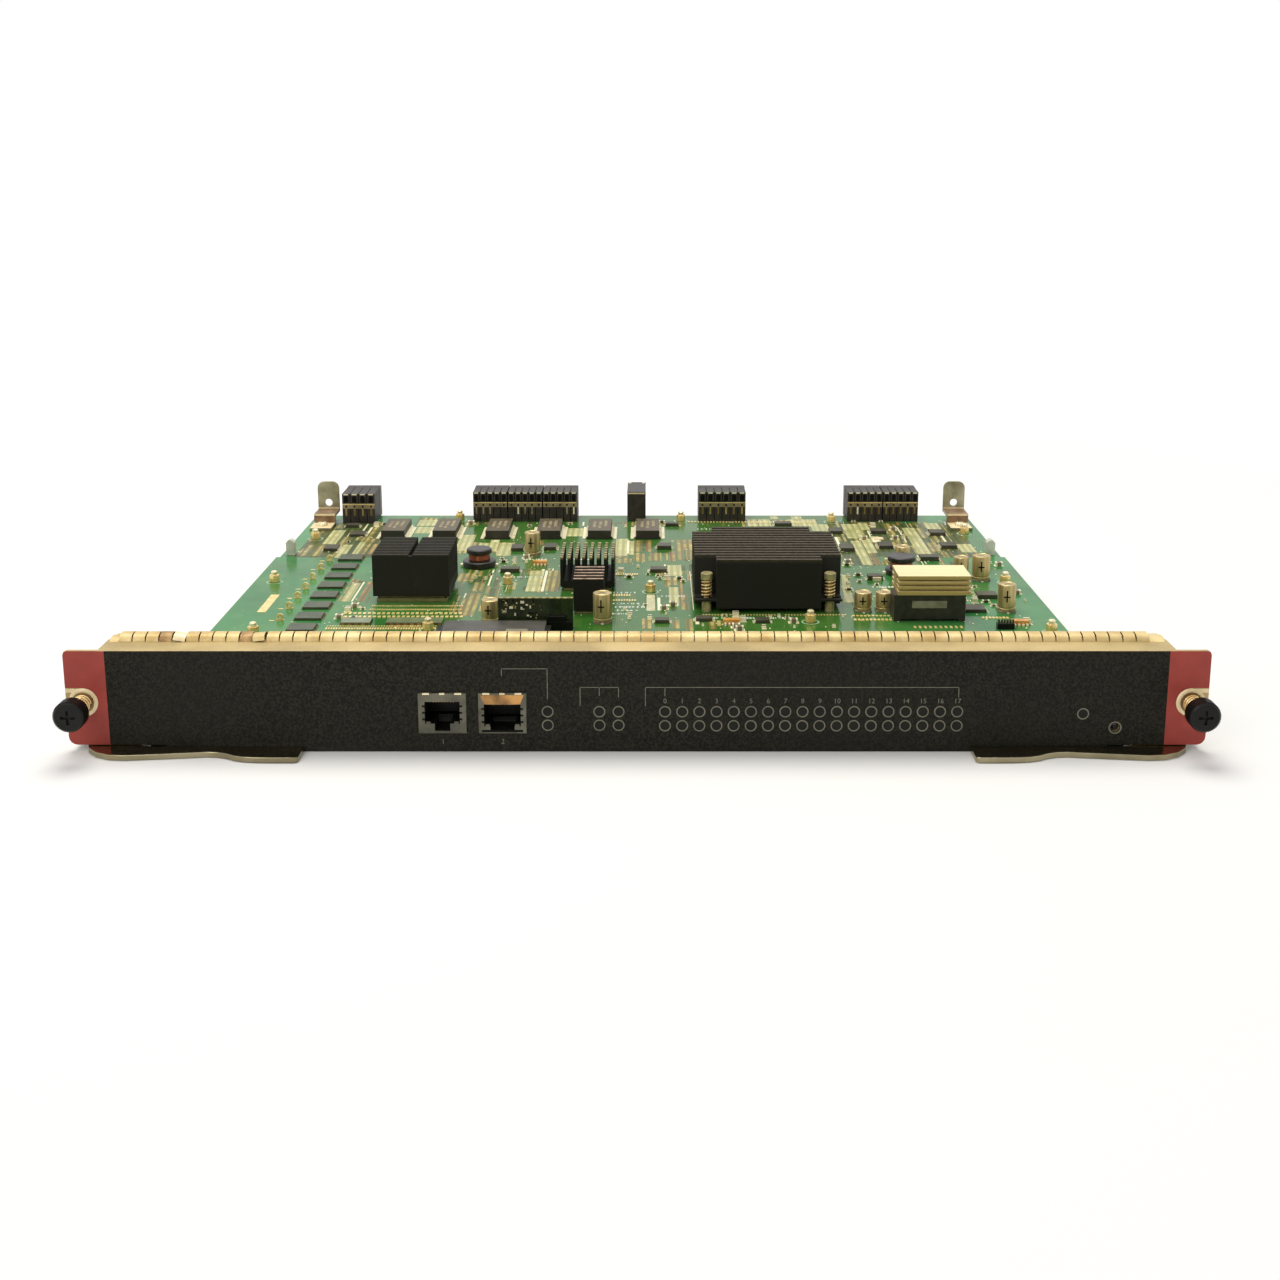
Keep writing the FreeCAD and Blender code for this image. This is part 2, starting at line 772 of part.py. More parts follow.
def push_pin_spring(x, y):
    low = large_z[0] + large_base
    spring = coil(pin_spring_radius, pin_spring_wire, pin_spring_turns, pin_cap_low - low)
    spring.translate(Vector(x, y, low))
    return spring


def middle_heat_sink():
    base_top = middle_z[0] + middle_base
    sink = block(middle_x, middle_y, (middle_z[0], base_top))
    rows = fin_rows(middle_x, middle_fins, middle_fin)
    return sink.fuse([block(row, middle_y, (base_top, middle_z[1])) for row in rows])


def small_heat_sink():
    base_top = small_z[0] + small_base
    sink = block(small_x, small_y, (small_z[0], base_top))
    rows = fin_rows(small_y, small_fins, small_fin)
    return sink.fuse([block(small_x, row, (base_top, small_z[1])) for row in rows])


def gold_heat_sink():
    sink = block(gold_x, gold_y, (converter_top, gold_top))
    rise = (gold_top - converter_top) / (gold_grooves + 1)
    for i in range(gold_grooves):
        z_span = around(converter_top + (i + 1) * rise, gold_groove)
        for edge, inward in ((gold_y[0], gold_groove_depth), (gold_y[1], -gold_groove_depth)):
            sink = sink.cut(block(gold_x, sorted((edge, edge + inward)), z_span))
    return sink


def power_converter():
    body = block(converter_x, converter_y, (board_top + converter_foot, converter_top))
    left, right = converter_x
    feet = []
    for x_span in ((left, left + converter_foot_width), (right - converter_foot_width, right)):
        feet.append(block(x_span, converter_y, (board_top, board_top + converter_foot)))
    return body.fuse(feet).removeSplitter()


def capacitor(x, y, radius, height):
    base_top = board_top + capacitor_base
    base = block(around(x, 2 * radius), around(y, 2 * radius), (board_top, base_top))
    return base.fuse(post(x, y, radius, (base_top, board_top + height), capacitor_sides))


def inductor(x, y, base, core, top):
    levels = [board_top + rise for rise in (0, inductor_base, inductor_core, inductor_height)]
    radii = (base, core, top)
    stages = [post(x, y, radii[i], levels[i:i + 2], inductor_sides) for i in range(len(radii))]
    return stages[0].fuse(stages[1:])


def transformer(x):
    z_span = (board_top, board_top + transformer_height)
    return block(around(x, transformer_width), transformer_y, z_span)


def memory_chip(index):
    front = memory_first + index * memory_pitch
    return block(memory_x, (front, front + memory_depth), (board_top, board_top + memory_height))


def flat_chip(x, y, width, depth, height):
    return block(around(x, width), around(y, depth), (board_top, board_top + height))


def riser_card():
    return block(riser_x, around(riser_y, riser_sheet), (board_top + riser_gap, riser_top))


def riser_socket():
    y_span = around(riser_y, riser_sheet + 2 * riser_socket_reach)
    body = block(riser_x, y_span, (board_top, board_top + riser_socket_height))
    return body.cut(block(riser_x, around(riser_y, riser_sheet), (board_top + riser_gap, panel_height)))


def riser_part():
    face = riser_y - riser_sheet / 2
    return block(riser_part_x, (face - riser_part_depth, face), riser_part_z)


def memory_card():
    return block(card_x, card_y, card_z)


def memory_card_socket():
    wide = (card_x[0] - card_rail, card_x[1] + card_rail)
    rails = block(wide, (card_y[0] - card_header, card_y[1] - card_header), (board_top, card_z[1]))
    rails = rails.cut(block(card_x, card_y, (card_z[0], panel_height)))
    middle = block((card_x[0] + card_rail, card_x[1] - card_rail), card_y, (board_top, card_z[0]))
    return rails.cut(middle)


def rear_connector(first, modules, columns, module_width, front):
    # each module: a hood towards the backplane and a row of upright wafers in front of it
    bodies = []
    wafer_y = (front, connector_hood)
    for m in range(modules):
        x_span = (first + m * module_width, first + (m + 1) * module_width - module_gap)
        hood = block(x_span, (connector_hood, connector_rear), (board_top, connector_top))
        wafers = []
        column = (x_span[1] - x_span[0]) / columns
        for c in range(columns):
            wafer_x = around(x_span[0] + (c + 0.5) * column, column - connector_wafer_gap)
            wafers.append(block(wafer_x, wafer_y, (board_top, connector_top)))
        bodies.append(hood.fuse(wafers).removeSplitter())
    return Part.makeCompound(bodies)


def guide_block():
    body = block(guide_x, guide_y, (board_top, guide_top))
    bore_y = (guide_y[1] - guide_bore_depth, guide_y[1])
    return body.cut(along_y(sum(guide_x) / 2, guide_bore_z, guide_bore_radius, bore_y))


def rear_tab():
    # right-hand tab: one folded strip, foot on the board, shelf, upright plate with its hole
    s, r = tab_sheet, tab_corner_radius
    foot_top = board_top + s
    plate_y = (tab_plate_y, tab_plate_y + s)
    shelf_low = tab_fold_z - s
    strip = [(tab_foot_front, board_top), (tab_shelf_front + s, board_top), (tab_shelf_front + s, shelf_low),
             (plate_y[1], shelf_low), (plate_y[1], tab_fold_z), (tab_shelf_front, tab_fold_z),
             (tab_shelf_front, foot_top), (tab_foot_front, foot_top)]
    left, right = around(tab_middle, tab_width)
    plate = [(left, tab_fold_z), (right, tab_fold_z),
             *arc_points((right - r, tab_top - r), r, 0, 90, arc_steps),
             *arc_points((left + r, tab_top - r), r, 90, 180, arc_steps)]
    tab = side_profile(strip, (left, right)).fuse(front_outline(plate, plate_y)).removeSplitter()
    tab = tab.cut(along_y(tab_middle, tab_hole_z, tab_hole_radius, (tab_plate_y - s, tab_plate_y + 2 * s)))
    return tab.cut(post(tab_middle, tab_screw_y, screw_hole, (0, panel_height)))


def standoff(x, y):
    shoulder = board_top + standoff_height
    body = post(x, y, standoff_across_corners / 2, (board_top, shoulder), hexagon_sides)
    stem = (shoulder, board_top + standoff_stem_height)
    return body.fuse(post(x, y, standoff_stem_radius, stem, hexagon_sides))


def edge_post(side):
    left, right = around(side * post_middle, post_width)
    top, c = board_top + post_height, post_chamfer
    outline = [(left, board_top), (right, board_top), (right, top - c), (right - c, top), (left + c, top),
               (left, top - c)]
    return front_outline(outline, post_y)


def thumb_spring():
    front = knob_rear + spring_gap
    spring = coil(spring_radius, spring_wire, spring_turns, -ferrule_flange - spring_gap - front)
    spring.rotate(Vector(0, 0, 0), Vector(1, 0, 0), -90)
    spring.translate(Vector(thumb_x, front, thumb_z))
    return spring


def build():
    os.makedirs("parts", exist_ok=True)
    save("front_panel", front_panel())
    save("front_film", front_film())
    save("contact_strip", contact_strip())
    for name in jack_middles:
        save(f"{name}_jack_shield", jack_shield(name))
        save(f"{name}_jack_insert", jack_insert(name))
    save("jack_contacts", jack_contacts())
    save("light_holders", light_holders())
    save("reset_switch", reset_switch())
    save("reset_button", reset_button())
    save("main_board", main_board())

    pairs = {"end_film": end_film(), "board_bracket": board_bracket(), "thumb_knob": thumb_knob(),
             "thumb_screw": thumb_screw(), "thumb_spring": thumb_spring(), "rear_tab": rear_tab(),
             "lever": mirrored(lever()), "lever_bracket": mirrored(lever_bracket())}
    for name, shape in pairs.items():
        save(f"right_{name}", shape)
        save(f"left_{name}", mirrored(shape))
    for name, shape in {"thumb_ferrules": thumb_ferrule(), "lever_pivots": lever_pivot()}.items():
        save(name, Part.makeCompound([shape, mirrored(shape)]))

    screws = []
    for side in (-1, 1):
        screws.append(board_screw(side * bracket_middle, bracket_screw_y, board_top + sheet))
        screws.append(board_screw(side * tab_middle, tab_screw_y, board_top + tab_sheet))
    save("board_screws", Part.makeCompound(screws))
    save("standoffs", Part.makeCompound([standoff(x, y) for x, y in standoffs]))
    save("edge_posts", Part.makeCompound([edge_post(side) for side in (-1, 1)]))

    save("chip_packages", chip_packages())
    save("twin_heat_sink", twin_heat_sink())
    save("large_heat_sink", large_heat_sink())
    save("push_pins", Part.makeCompound([push_pin(x, y) for x, y in push_pin_places()]))
    save("push_pin_springs", Part.makeCompound([push_pin_spring(x, y) for x, y in push_pin_places()]))
    save("middle_heat_sink", middle_heat_sink())
    save("small_heat_sink", small_heat_sink())
    save("power_converter", power_converter())
    save("gold_heat_sink", gold_heat_sink())

    save("capacitors", Part.makeCompound([capacitor(*row) for row in capacitors]))
    save("inductors", Part.makeCompound([inductor(*row) for row in inductors]))
    save("transformers", Part.makeCompound([transformer(x) for x in transformer_xs]))
    save("memory_chips", Part.makeCompound([memory_chip(i) for i in range(memory_count)]))
    save("flat_chips", Part.makeCompound([flat_chip(*row) for row in flat_chips]))
    save("riser_card", riser_card())
    save("riser_socket", riser_socket())
    save("riser_part", riser_part())
    save("memory_card", memory_card())
    save("memory_card_socket", memory_card_socket())
    for name, layout in connectors.items():
        save(name, rear_connector(*layout))
    save("guide_block", guide_block())


build()
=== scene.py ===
import json
import math
import random

import bmesh
import bpy
from mathutils import Matrix, Vector
from mathutils.geometry import interpolate_bezier

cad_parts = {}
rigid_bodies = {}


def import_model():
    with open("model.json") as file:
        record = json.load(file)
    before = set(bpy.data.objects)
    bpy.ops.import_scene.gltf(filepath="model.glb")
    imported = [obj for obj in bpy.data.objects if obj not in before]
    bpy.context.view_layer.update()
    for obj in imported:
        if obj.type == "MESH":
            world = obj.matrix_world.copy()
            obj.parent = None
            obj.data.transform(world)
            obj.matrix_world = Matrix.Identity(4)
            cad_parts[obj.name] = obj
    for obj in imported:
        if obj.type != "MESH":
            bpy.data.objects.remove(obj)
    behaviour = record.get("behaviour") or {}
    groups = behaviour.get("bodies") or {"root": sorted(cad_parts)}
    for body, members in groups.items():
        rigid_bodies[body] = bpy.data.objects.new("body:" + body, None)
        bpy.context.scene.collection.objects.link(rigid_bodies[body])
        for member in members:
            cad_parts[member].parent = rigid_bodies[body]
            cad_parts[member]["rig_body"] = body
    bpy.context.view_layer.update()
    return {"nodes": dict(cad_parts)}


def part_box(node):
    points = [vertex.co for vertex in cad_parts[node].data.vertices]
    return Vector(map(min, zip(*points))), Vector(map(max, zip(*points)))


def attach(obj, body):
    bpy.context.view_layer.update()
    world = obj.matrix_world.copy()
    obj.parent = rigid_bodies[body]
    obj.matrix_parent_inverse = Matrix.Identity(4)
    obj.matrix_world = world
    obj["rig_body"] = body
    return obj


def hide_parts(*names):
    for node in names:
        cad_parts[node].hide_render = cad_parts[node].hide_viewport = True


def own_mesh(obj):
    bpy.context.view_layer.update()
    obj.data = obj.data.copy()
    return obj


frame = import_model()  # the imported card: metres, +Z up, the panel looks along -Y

nodes = frame["nodes"]
scene = bpy.context.scene
mm = 0.001
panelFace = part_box("front_panel")[0].y
cardToRow = Matrix.Translation((0, panelFace, 0)) @ Matrix.Scale(mm, 4)  # pieces are drawn in mm from the panel
rowToCard = cardToRow.inverted()


def cardBox(node):
    low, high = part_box(node)
    return rowToCard @ low, rowToCard @ high


boardLow, boardTop = [corner.z for corner in cardBox("main_board")]
filmFace = cardBox("front_film")[0].y
flangeTop = cardBox("front_panel")[1].z
print("frame loaded:", len(nodes), "solids")


# Spans and places
def around(middle, width):
    return (middle - width / 2, middle + width / 2)


def onBoard(high, low=0):
    return (boardTop + low, boardTop + high)


def spot(x, y, z, turn=0):
    return Matrix.Translation((x, y, z)) @ Matrix.Rotation(math.radians(turn), 4, "Z")


towardsFront = Matrix.Rotation(math.radians(90), 4, "X")  # an upright shape then points along -Y


def facing(x, y, z):
    return Matrix.Translation((x, y, z)) @ towardsFront


# Shapes
def meshOf(name, bm):
    mesh = bpy.data.meshes.new(name)
    bm.to_mesh(mesh)
    bm.free()
    return mesh


def shown(name, data):
    item = bpy.data.objects.new(name, data)
    scene.collection.objects.link(item)
    return item


def block(bm, xSpan, ySpan, zSpan, slot=0):
    spans = [sorted(span) for span in (xSpan, ySpan, zSpan)]
    middle = Matrix.Translation([sum(span) / 2 for span in spans])
    size = Matrix.Diagonal([span[1] - span[0] for span in spans] + [1])
    verts = bmesh.ops.create_cube(bm, size=1, matrix=middle @ size)["verts"]
    for face in {face for vert in verts for face in vert.link_faces}:
        face.material_index = slot
    return verts


def soften(bm, width, sharpFrom=40):
    sharp = [e for e in bm.edges if len(e.link_faces) == 2 and e.calc_face_angle() > math.radians(sharpFrom)]
    bmesh.ops.bevel(bm, geom=sharp, offset=width, offset_type="OFFSET", segments=2, profile=0.5,
                    affect="EDGES", clamp_overlap=True, material=-1)


def shapeOf(bm, slot=None):
    bmesh.ops.recalc_face_normals(bm, faces=bm.faces)
    if slot is not None:
        for face in bm.faces:
            face.material_index = slot
    return meshOf("shape", bm)


def stamp(bm, shape, place):
    copy = shape.copy()
    copy.transform(place)
    bm.from_mesh(copy)
    bpy.data.meshes.remove(copy)


def turned(profile, steps=24, slot=0):
    # radius and height pairs spun once about Z
    bm = bmesh.new()
    verts = [bm.verts.new((radius, 0, height)) for radius, height in profile]
    edges = [bm.edges.new(pair) for pair in zip(verts, verts[1:])]
    bmesh.ops.spin(bm, geom=verts + edges, cent=(0, 0, 0), axis=(0, 0, 1), dvec=(0, 0, 0),
                   angle=2 * math.pi, steps=steps, use_merge=True)
    bmesh.ops.remove_doubles(bm, verts=bm.verts, dist=1e-5)
    return shapeOf(bm, slot)


def ringOf(outer, inner, height, steps=32, slot=0):
    return turned([(outer, 0), (outer, height), (inner, height), (inner, 0), (outer, 0)], steps, slot)


def discOf(radius, height, steps=24, slot=0):
    return turned([(0, 0), (radius, 0), (radius, height), (0, height)], steps, slot)


def coilOf(radius, wire, turns, length, steps=20, slot=0):
    sides = 8
    bm = bmesh.new()
    upright = Matrix.Translation((radius, 0, wire / 2)) @ towardsFront
    bmesh.ops.create_circle(bm, segments=sides, radius=wire / 2, matrix=upright)
    count = round(turns * steps)
    bmesh.ops.spin(bm, geom=bm.verts[:] + bm.edges[:], cent=(0, 0, 0), axis=(0, 0, 1),
                   dvec=(0, 0, (length - wire) / count), angle=2 * math.pi * turns, steps=count, use_merge=False)
    bmesh.ops.holes_fill(bm, edges=[e for e in bm.edges if e.is_boundary], sides=sides)
    return shapeOf(bm, slot)


def ofKind(items, kind):
    return [item for item in items if isinstance(item, kind)]


def prismOf(outline, depth, slot=0):
    # a closed X-Y outline raised along Z
    bm = bmesh.new()
    base = bm.faces.new([bm.verts.new((x, y, 0)) for x, y in outline])
    raised = bmesh.ops.extrude_face_region(bm, geom=[base])["geom"]
    bmesh.ops.translate(bm, verts=ofKind(raised, bmesh.types.BMVert), vec=(0, 0, depth))
    return shapeOf(bm, slot)


def addPiece(name, bm, tones, replaced=(), body="card", smooth=35):
    bm.transform(cardToRow)
    mesh = meshOf(name, bm)
    for tone in tones.split():
        mesh.materials.append(finishes[tone])
    mesh.shade_smooth()
    mesh.set_sharp_from_angle(angle=math.radians(smooth))
    piece = shown(name, mesh)
    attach(piece, body)
    if replaced:
        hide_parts(*replaced)
    return piece


def camel(node):
    first, *rest = node.split("_")
    return first + "".join(word.capitalize() for word in rest)


def eased(node, finish, width, smooth):
    # the solid's own triangles, joined and with its edges eased, standing for the plain one
    bm = bmesh.new()
    bm.from_mesh(nodes[node].data)
    bm.transform(rowToCard)
    bmesh.ops.remove_doubles(bm, verts=bm.verts, dist=1e-3)
    bmesh.ops.dissolve_limit(bm, angle_limit=math.radians(1), use_dissolve_boundaries=False,
                             verts=bm.verts, edges=bm.edges, delimit={"NORMAL"})
    soften(bm, width)
    for face in bm.faces:
        face.material_index = 0
    addPiece(camel(node), bm, finish, (node,), nodes[node]["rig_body"], smooth)


# Finishes
def tint(code):
    parts = [int(code[i:i + 2], 16) / 255 for i in (0, 2, 4)]
    return [part / 12.92 if part <= 0.04045 else ((part + 0.055) / 1.055) ** 2.4 for part in parts] + [1]


def addNode(tree, kind, settings=None, **links):
    made = tree.nodes.new("ShaderNode" + kind)
    for key, value in (settings or {}).items():
        if isinstance(key, int) or key in made.inputs:
            made.inputs[key].default_value = value
        else:
            setattr(made, key, value)
    for key, source in links.items():  # _0 is the first input, other keys are names
        socket = int(key[1:]) if key[1:].isdigit() else key
        tree.links.new(source, made.inputs[socket])
    return made


class Finish:
    def __init__(self, name, metal=0, shine=0.5):
        self.material = bpy.data.materials.new(name)
        self.material.use_nodes = True
        self.tree = self.material.node_tree
        self.shader = self.tree.nodes["Principled BSDF"]
        self.shader.inputs["Metallic"].default_value = metal
        self.shader.inputs["Specular IOR Level"].default_value = shine
        self.place = self.add("TexCoord").outputs["Object"]

    def add(self, kind, settings=None, **links):
        return addNode(self.tree, kind, settings, **links)

    def stretched(self, scale):
        return self.add("Mapping", {"Scale": scale}, Vector=self.place).outputs["Vector"]

    def noise(self, scale, detail=3, vector=None):
        return self.add("TexNoise", {"Scale": scale, "Detail": detail}, Vector=vector or self.place).outputs["Fac"]

    def wave(self, direction, scale, vector=None, **settings):
        settings.update({"bands_direction": direction, "Scale": scale})
        return self.add("TexWave", settings, Vector=vector or self.place).outputs["Fac"]

    def along(self, axis, vector=None):
        return self.add("SeparateXYZ", Vector=vector or self.place).outputs[axis]

    def upward(self):
        normal = self.add("NewGeometry").outputs["Normal"]
        return self.mapped(self.along("Z", normal), 0, 1, 0.3, 0.9)

    def mapped(self, value, low, high, fromLow=0.35, fromHigh=0.65):
        settings = {"From Min": fromLow, "From Max": fromHigh, "To Min": low, "To Max": high}
        return self.add("MapRange", settings, Value=value).outputs["Result"]

    def times(self, first, second):
        return self.add("Math", {"operation": "MULTIPLY"}, _0=first, _1=second).outputs[0]

    def mixed(self, factor, first, second):
        made = self.add("Mix", {"data_type": "RGBA"}, Factor=factor)
        for index, tone in ((6, first), (7, second)):
            if isinstance(tone, str):
                made.inputs[index].default_value = tint(tone)
            else:
                self.tree.links.new(tone, made.inputs[index])
        return made.outputs[2]

    def done(self, colour, rough, height=None, strength=0, distance=0):
        sources = {"Base Color": colour, "Roughness": rough}
        if height:
            settings = {"Strength": strength, "Distance": distance}
            sources["Normal"] = self.add("Bump", settings, Height=height).outputs["Normal"]
        for socket, source in sources.items():
            self.tree.links.new(source, self.shader.inputs[socket])
        return self.material


def mottled(name, light, dark, patch, grain, gloss, matt, metal=0, shine=0.5, bump=0.15):
    # two tones in soft patches, with a fine grain in gloss and relief
    made = Finish(name, metal, shine)
    tone = made.mixed(made.mapped(made.noise(patch, 4), 0, 1), dark, light)
    fine = made.noise(grain, 2)
    return made.done(tone, made.mapped(fine, gloss, matt), fine, bump, 0.0002)


def blackFilm():
    made = Finish("blackFilm", 0, 0.12)
    speckle = made.noise(1300, 2)
    tone = made.mixed(made.mapped(speckle, 0, 1, 0.38, 0.66), "0f100b", "312e26")
    tone = made.mixed(made.mapped(made.noise(16), 0, 0.5), tone, "1f1f19")
    return made.done(tone, made.mapped(speckle, 0.5, 0.62), speckle, 0.2, 0.0001)


def anodised(name, body, tips, tipLow, tipHigh, notch=0):
    # black fins whose upper edges show a paler tone, partly bare cut metal and partly a painted highlight, broken up
    # where the fins are notched
    made = Finish(name, 0, 0.15)
    edge = made.mapped(made.along("Z"), 0, 1, tipLow * mm, tipHigh * mm)
    bareAndLitTips = made.times(edge, made.mapped(made.noise(450), 0.45, 1.1))
    if notch:
        bareAndLitTips = made.times(bareAndLitTips, made.mapped(made.wave("Y", math.pi / 10 / (notch * mm)), 0.1, 1))
    grain = made.noise(1400, 2)
    shade = made.mixed(made.mapped(grain, 0, 1), body, "24221d")
    return made.done(made.mixed(bareAndLitTips, shade, tips), made.mapped(grain, 0.5, 0.68), grain, 0.15, 0.0001)


def goldAnodised():
    # painted highlight: pale where it faces up, tan on its sides, with extrusion lines along the block
    made = Finish("goldAnodised", 0.3)
    drawn = made.noise(500, 3, made.stretched((0.05, 1, 1)))
    highlightTone = made.mixed(made.mapped(drawn, 0, 1), "e9dca2", "f4e9b4")
    tone = made.mixed(made.upward(), "c9a869", highlightTone)
    return made.done(tone, made.mapped(drawn, 0.3, 0.45), drawn, 0.1, 0.0001)


def wrappedCore():
    # brown where it faces up, nearly black on its sides
    made = Finish("coreBrown")
    grain = made.noise(400)
    top = made.mixed(made.mapped(grain, 0, 1), "403723", "5c5136")
    tone = made.mixed(made.upward(), "2a241a", top)
    return made.done(tone, made.mapped(grain, 0.4, 0.55), made.noise(2600, 2), 0.15, 0.0002)


def capacitorCan():
    made = Finish("capacitorCan", 0.65)
    drawn = made.noise(700, 3, made.stretched((1, 1, 0.06)))
    return made.done(made.mixed(made.mapped(drawn, 0, 1), "ab9865", "c8b47e"), made.mapped(drawn, 0.3, 0.4))


def circuitBoard():
    # solder mask over routed copper: cells of parallel traces one way or the other, and vias
    made = Finish("circuitBoard", 0, 0.145)
    cell = made.add("TexVoronoi", {"distance": "CHEBYCHEV", "Scale": 70, "Randomness": 0.8}, Vector=made.place)
    pick = made.add("SeparateColor", Color=cell.outputs["Color"]).outputs
    waves = [made.mapped(made.wave(direction, 330), 0, 1, 0.55, 0.7) for direction in ("X", "Y")]
    across = made.add("Math", {"operation": "GREATER_THAN", 1: 0.5}, _0=pick["Red"]).outputs[0]
    lines = made.add("Mix", {"data_type": "FLOAT"}, Factor=across, _2=waves[0], _3=waves[1]).outputs[0]
    traces = made.times(lines, made.mapped(pick["Green"], 0, 1, 0.45, 0.6))
    ground = made.mixed(made.mapped(made.noise(24, 5), 0, 1), "296d36", "3c8b48")
    inner = made.add("Math", {"operation": "ABSOLUTE"}, _0=made.along("X")).outputs[0]
    middleOlive = made.mapped(inner, 0.8, 0, 0.095, 0.14)  # the middle of the board, by x, is darker and more olive
    ground = made.mixed(middleOlive, ground, "38621e")
    dots = made.add("TexVoronoi", {"Scale": 260, "Randomness": 0.9}, Vector=made.place).outputs["Distance"]
    vias = made.mapped(dots, 0.8, 0, 0.06, 0.09)
    soft = made.add("Math", {"operation": "MULTIPLY", 1: 0.25}, _0=traces).outputs[0]
    tone = made.mixed(vias, made.mixed(soft, ground, "7d8f4a"), "b9bd86")
    return made.done(tone, made.mapped(made.noise(900, 2), 0.13, 0.22), traces, 0.12, 0.00004)


def traceBundle(name, light, dark):
    # many fine parallel traces that run from front to back
    made = Finish(name, 0, 0.25)
    wavy = {"Distortion": 1.2, "Detail": 1.0, "Detail Scale": 0.3}
    lines = made.mapped(made.wave("X", 105, made.stretched((1, 0.1, 1)), **wavy), 0.15, 1, 0.25, 0.7)
    patch = made.mapped(made.noise(130, 4), 0.2, 1)
    tone = made.mixed(made.times(lines, patch), dark, light)
    return made.done(tone, made.mapped(patch, 0.3, 0.45, 0.2, 1), lines, 0.3, 0.00004)


# material, light and dark tone, scale of patches and grain, roughness from and to, metal, shine, relief
plainFinishes = {
    "panel_steel": ("satinSteel", "c8b27c", "a69160", 40, 900, 0.45, 0.6, 0.25),
    "red_film": ("redFilm", "a5463d", "983f37", 120, 2600, 0.5, 0.62, 0, 0.3),
    "finger_alloy": ("fingerAlloy", "e0ca92", "bb9e62", 90, 1500, 0.42, 0.56, 0.3),
    "socket_steel": ("socketSteel", "6c6a5b", "4d4b40", 160, 2200, 0.3, 0.45, 0.6),
    "black_plastic": ("blackPlastic", "141410", "0d0d0a", 140, 2600, 0.28, 0.4, 0, 0.2),
    "contact_gold": ("contactGold", "f0cf7e", "cfa64e", 400, 2400, 0.2, 0.32, 0.95),
    "light_pipe": ("lightPipe", "d7d3c0", "bfbba6", 200, 1500, 0.3, 0.4),
    "plated_steel": ("platedSteel", "a8a283", "7a7459", 120, 1600, 0.3, 0.45, 0.75),
    "lever_steel": ("leverSteel", "aaa082", "8a8266", 70, 1100, 0.16, 0.26, 1.0, 0.5, 0.02),
    "screw_steel": ("screwSteel", "fff6d0", "e2d3a4", 300, 2600, 0.2, 0.3, 0.3),
    "spring_steel": ("springSteel", "ffe5a8", "d2a660", 300, 2400, 0.15, 0.25, 0.45),
    "brass": ("brass", "ffe7a0", "e6be68", 250, 2000, 0.15, 0.25, 0.4),
    "bare_aluminium": ("bareAluminium", "d8d8ca", "b8b7a6", 200, 1500, 0.35, 0.5, 0.1),
    "chip_black": ("chipBlack", "4e4c3a", "3b392b", 150, 3200, 0.4, 0.54, 0, 0.35),
    "package_brown": ("packageBrown", "8f8a55", "77723f", 200, 2200, 0.35, 0.5),
    "ferrite": ("ferrite", "2d2a28", "1f1c1a", 300, 2600, 0.3, 0.45),
    "card_grey": ("cardGrey", "504e47", "403e39", 150, 2800, 0.4, 0.52, 0, 0.3),
    "card_green": ("cardGreen", "2f3a1e", "1c2614", 260, 2200, 0.2, 0.32),
    "tin": ("tinPads", "fff8d8", "efe5ba", 500, 2600, 0.25, 0.4),
    "goldPad": ("goldPads", "ffe99e", "dfc176", 500, 2600, 0.25, 0.38, 0.2),
    "print": ("greyPrint", "757260", "636052", 300, 2600, 0.5, 0.6),
    "silk": ("whitePrint", "dfe4d2", "c5cdbb", 300, 2600, 0.5, 0.6),
    "silkDim": ("dimPrint", "a9c4a0", "8fae88", 300, 2600, 0.4, 0.5),
    "lens": ("smokedLens", "1e1f19", "161712", 300, 2600, 0.4, 0.5, 0, 0.15),
    "copper": ("windingCopper", "a9623a", "733d20", 300, 2600, 0.3, 0.42, 0.7),
    "paleLabel": ("paleLabel", "8f8870", "767059", 300, 2600, 0.5, 0.6),
    "whiteLabel": ("whiteLabel", "d9d6b2", "bdbb94", 200, 2600, 0.5, 0.6),
    "orange": ("orangeParts", "e0a857", "bf8338", 300, 2600, 0.35, 0.45),
    "ceramic": ("ceramicParts", "9a8f74", "6e644e", 400, 2600, 0.35, 0.5),
    # painted shade for recesses, holes and notches: screw crosses, connector cells and holes, socket mouths
    "darkSlot": ("paintedShadeSlots", "0d0c0a", "070706", 300, 2600, 0.6, 0.7, 0, 0.1),
    "memoryGrey": ("memoryGrey", "49513a", "38412c", 150, 2800, 0.3, 0.42, 0, 0.3),
    "connectorBlack": ("connectorBlack", "3b372f", "2c2923", 300, 2600, 0.35, 0.5, 0, 0.3),
    "ferrule": ("ferruleSteel", "97805a", "755f3e", 200, 2200, 0.3, 0.45, 0.6),
    "pinGrey": ("pinGrey", "c9ba86", "9a8f64", 250, 2200, 0.25, 0.36, 0.15),
    "tabShade": ("tabShade", "94775a", "6d5640", 200, 2200, 0.35, 0.5, 0.3),
    # painted sheen on chip tops
    "hazeTop": ("paintedSheenTops", "7d8a64", "69764f", 200, 2600, 0.25, 0.35),
    "faintMark": ("faintMarks", "9a8c67", "786b4c", 300, 2600, 0.5, 0.6),
    # cream: the own colour of small parts and window rims, and painted highlights on the bent finger, the rear tab
    # folds and the guide block's edge
    "cream": ("creamAndHighlights", "fae8bf", "e4cfa0", 200, 2000, 0.35, 0.5, 0.1),
    "fingerShade": ("fingerShade", "bd9a62", "8b6b40", 300, 1500, 0.42, 0.56, 0.3),
    "flap": ("copperFlap", "cf9a58", "6f5230", 120, 2000, 0.3, 0.45, 0.5),
    "dullBrown": ("dullBrown", "3a352b", "2b271f", 300, 2600, 0.45, 0.6),
}
finishes = {key: mottled(*row) for key, row in plainFinishes.items()}
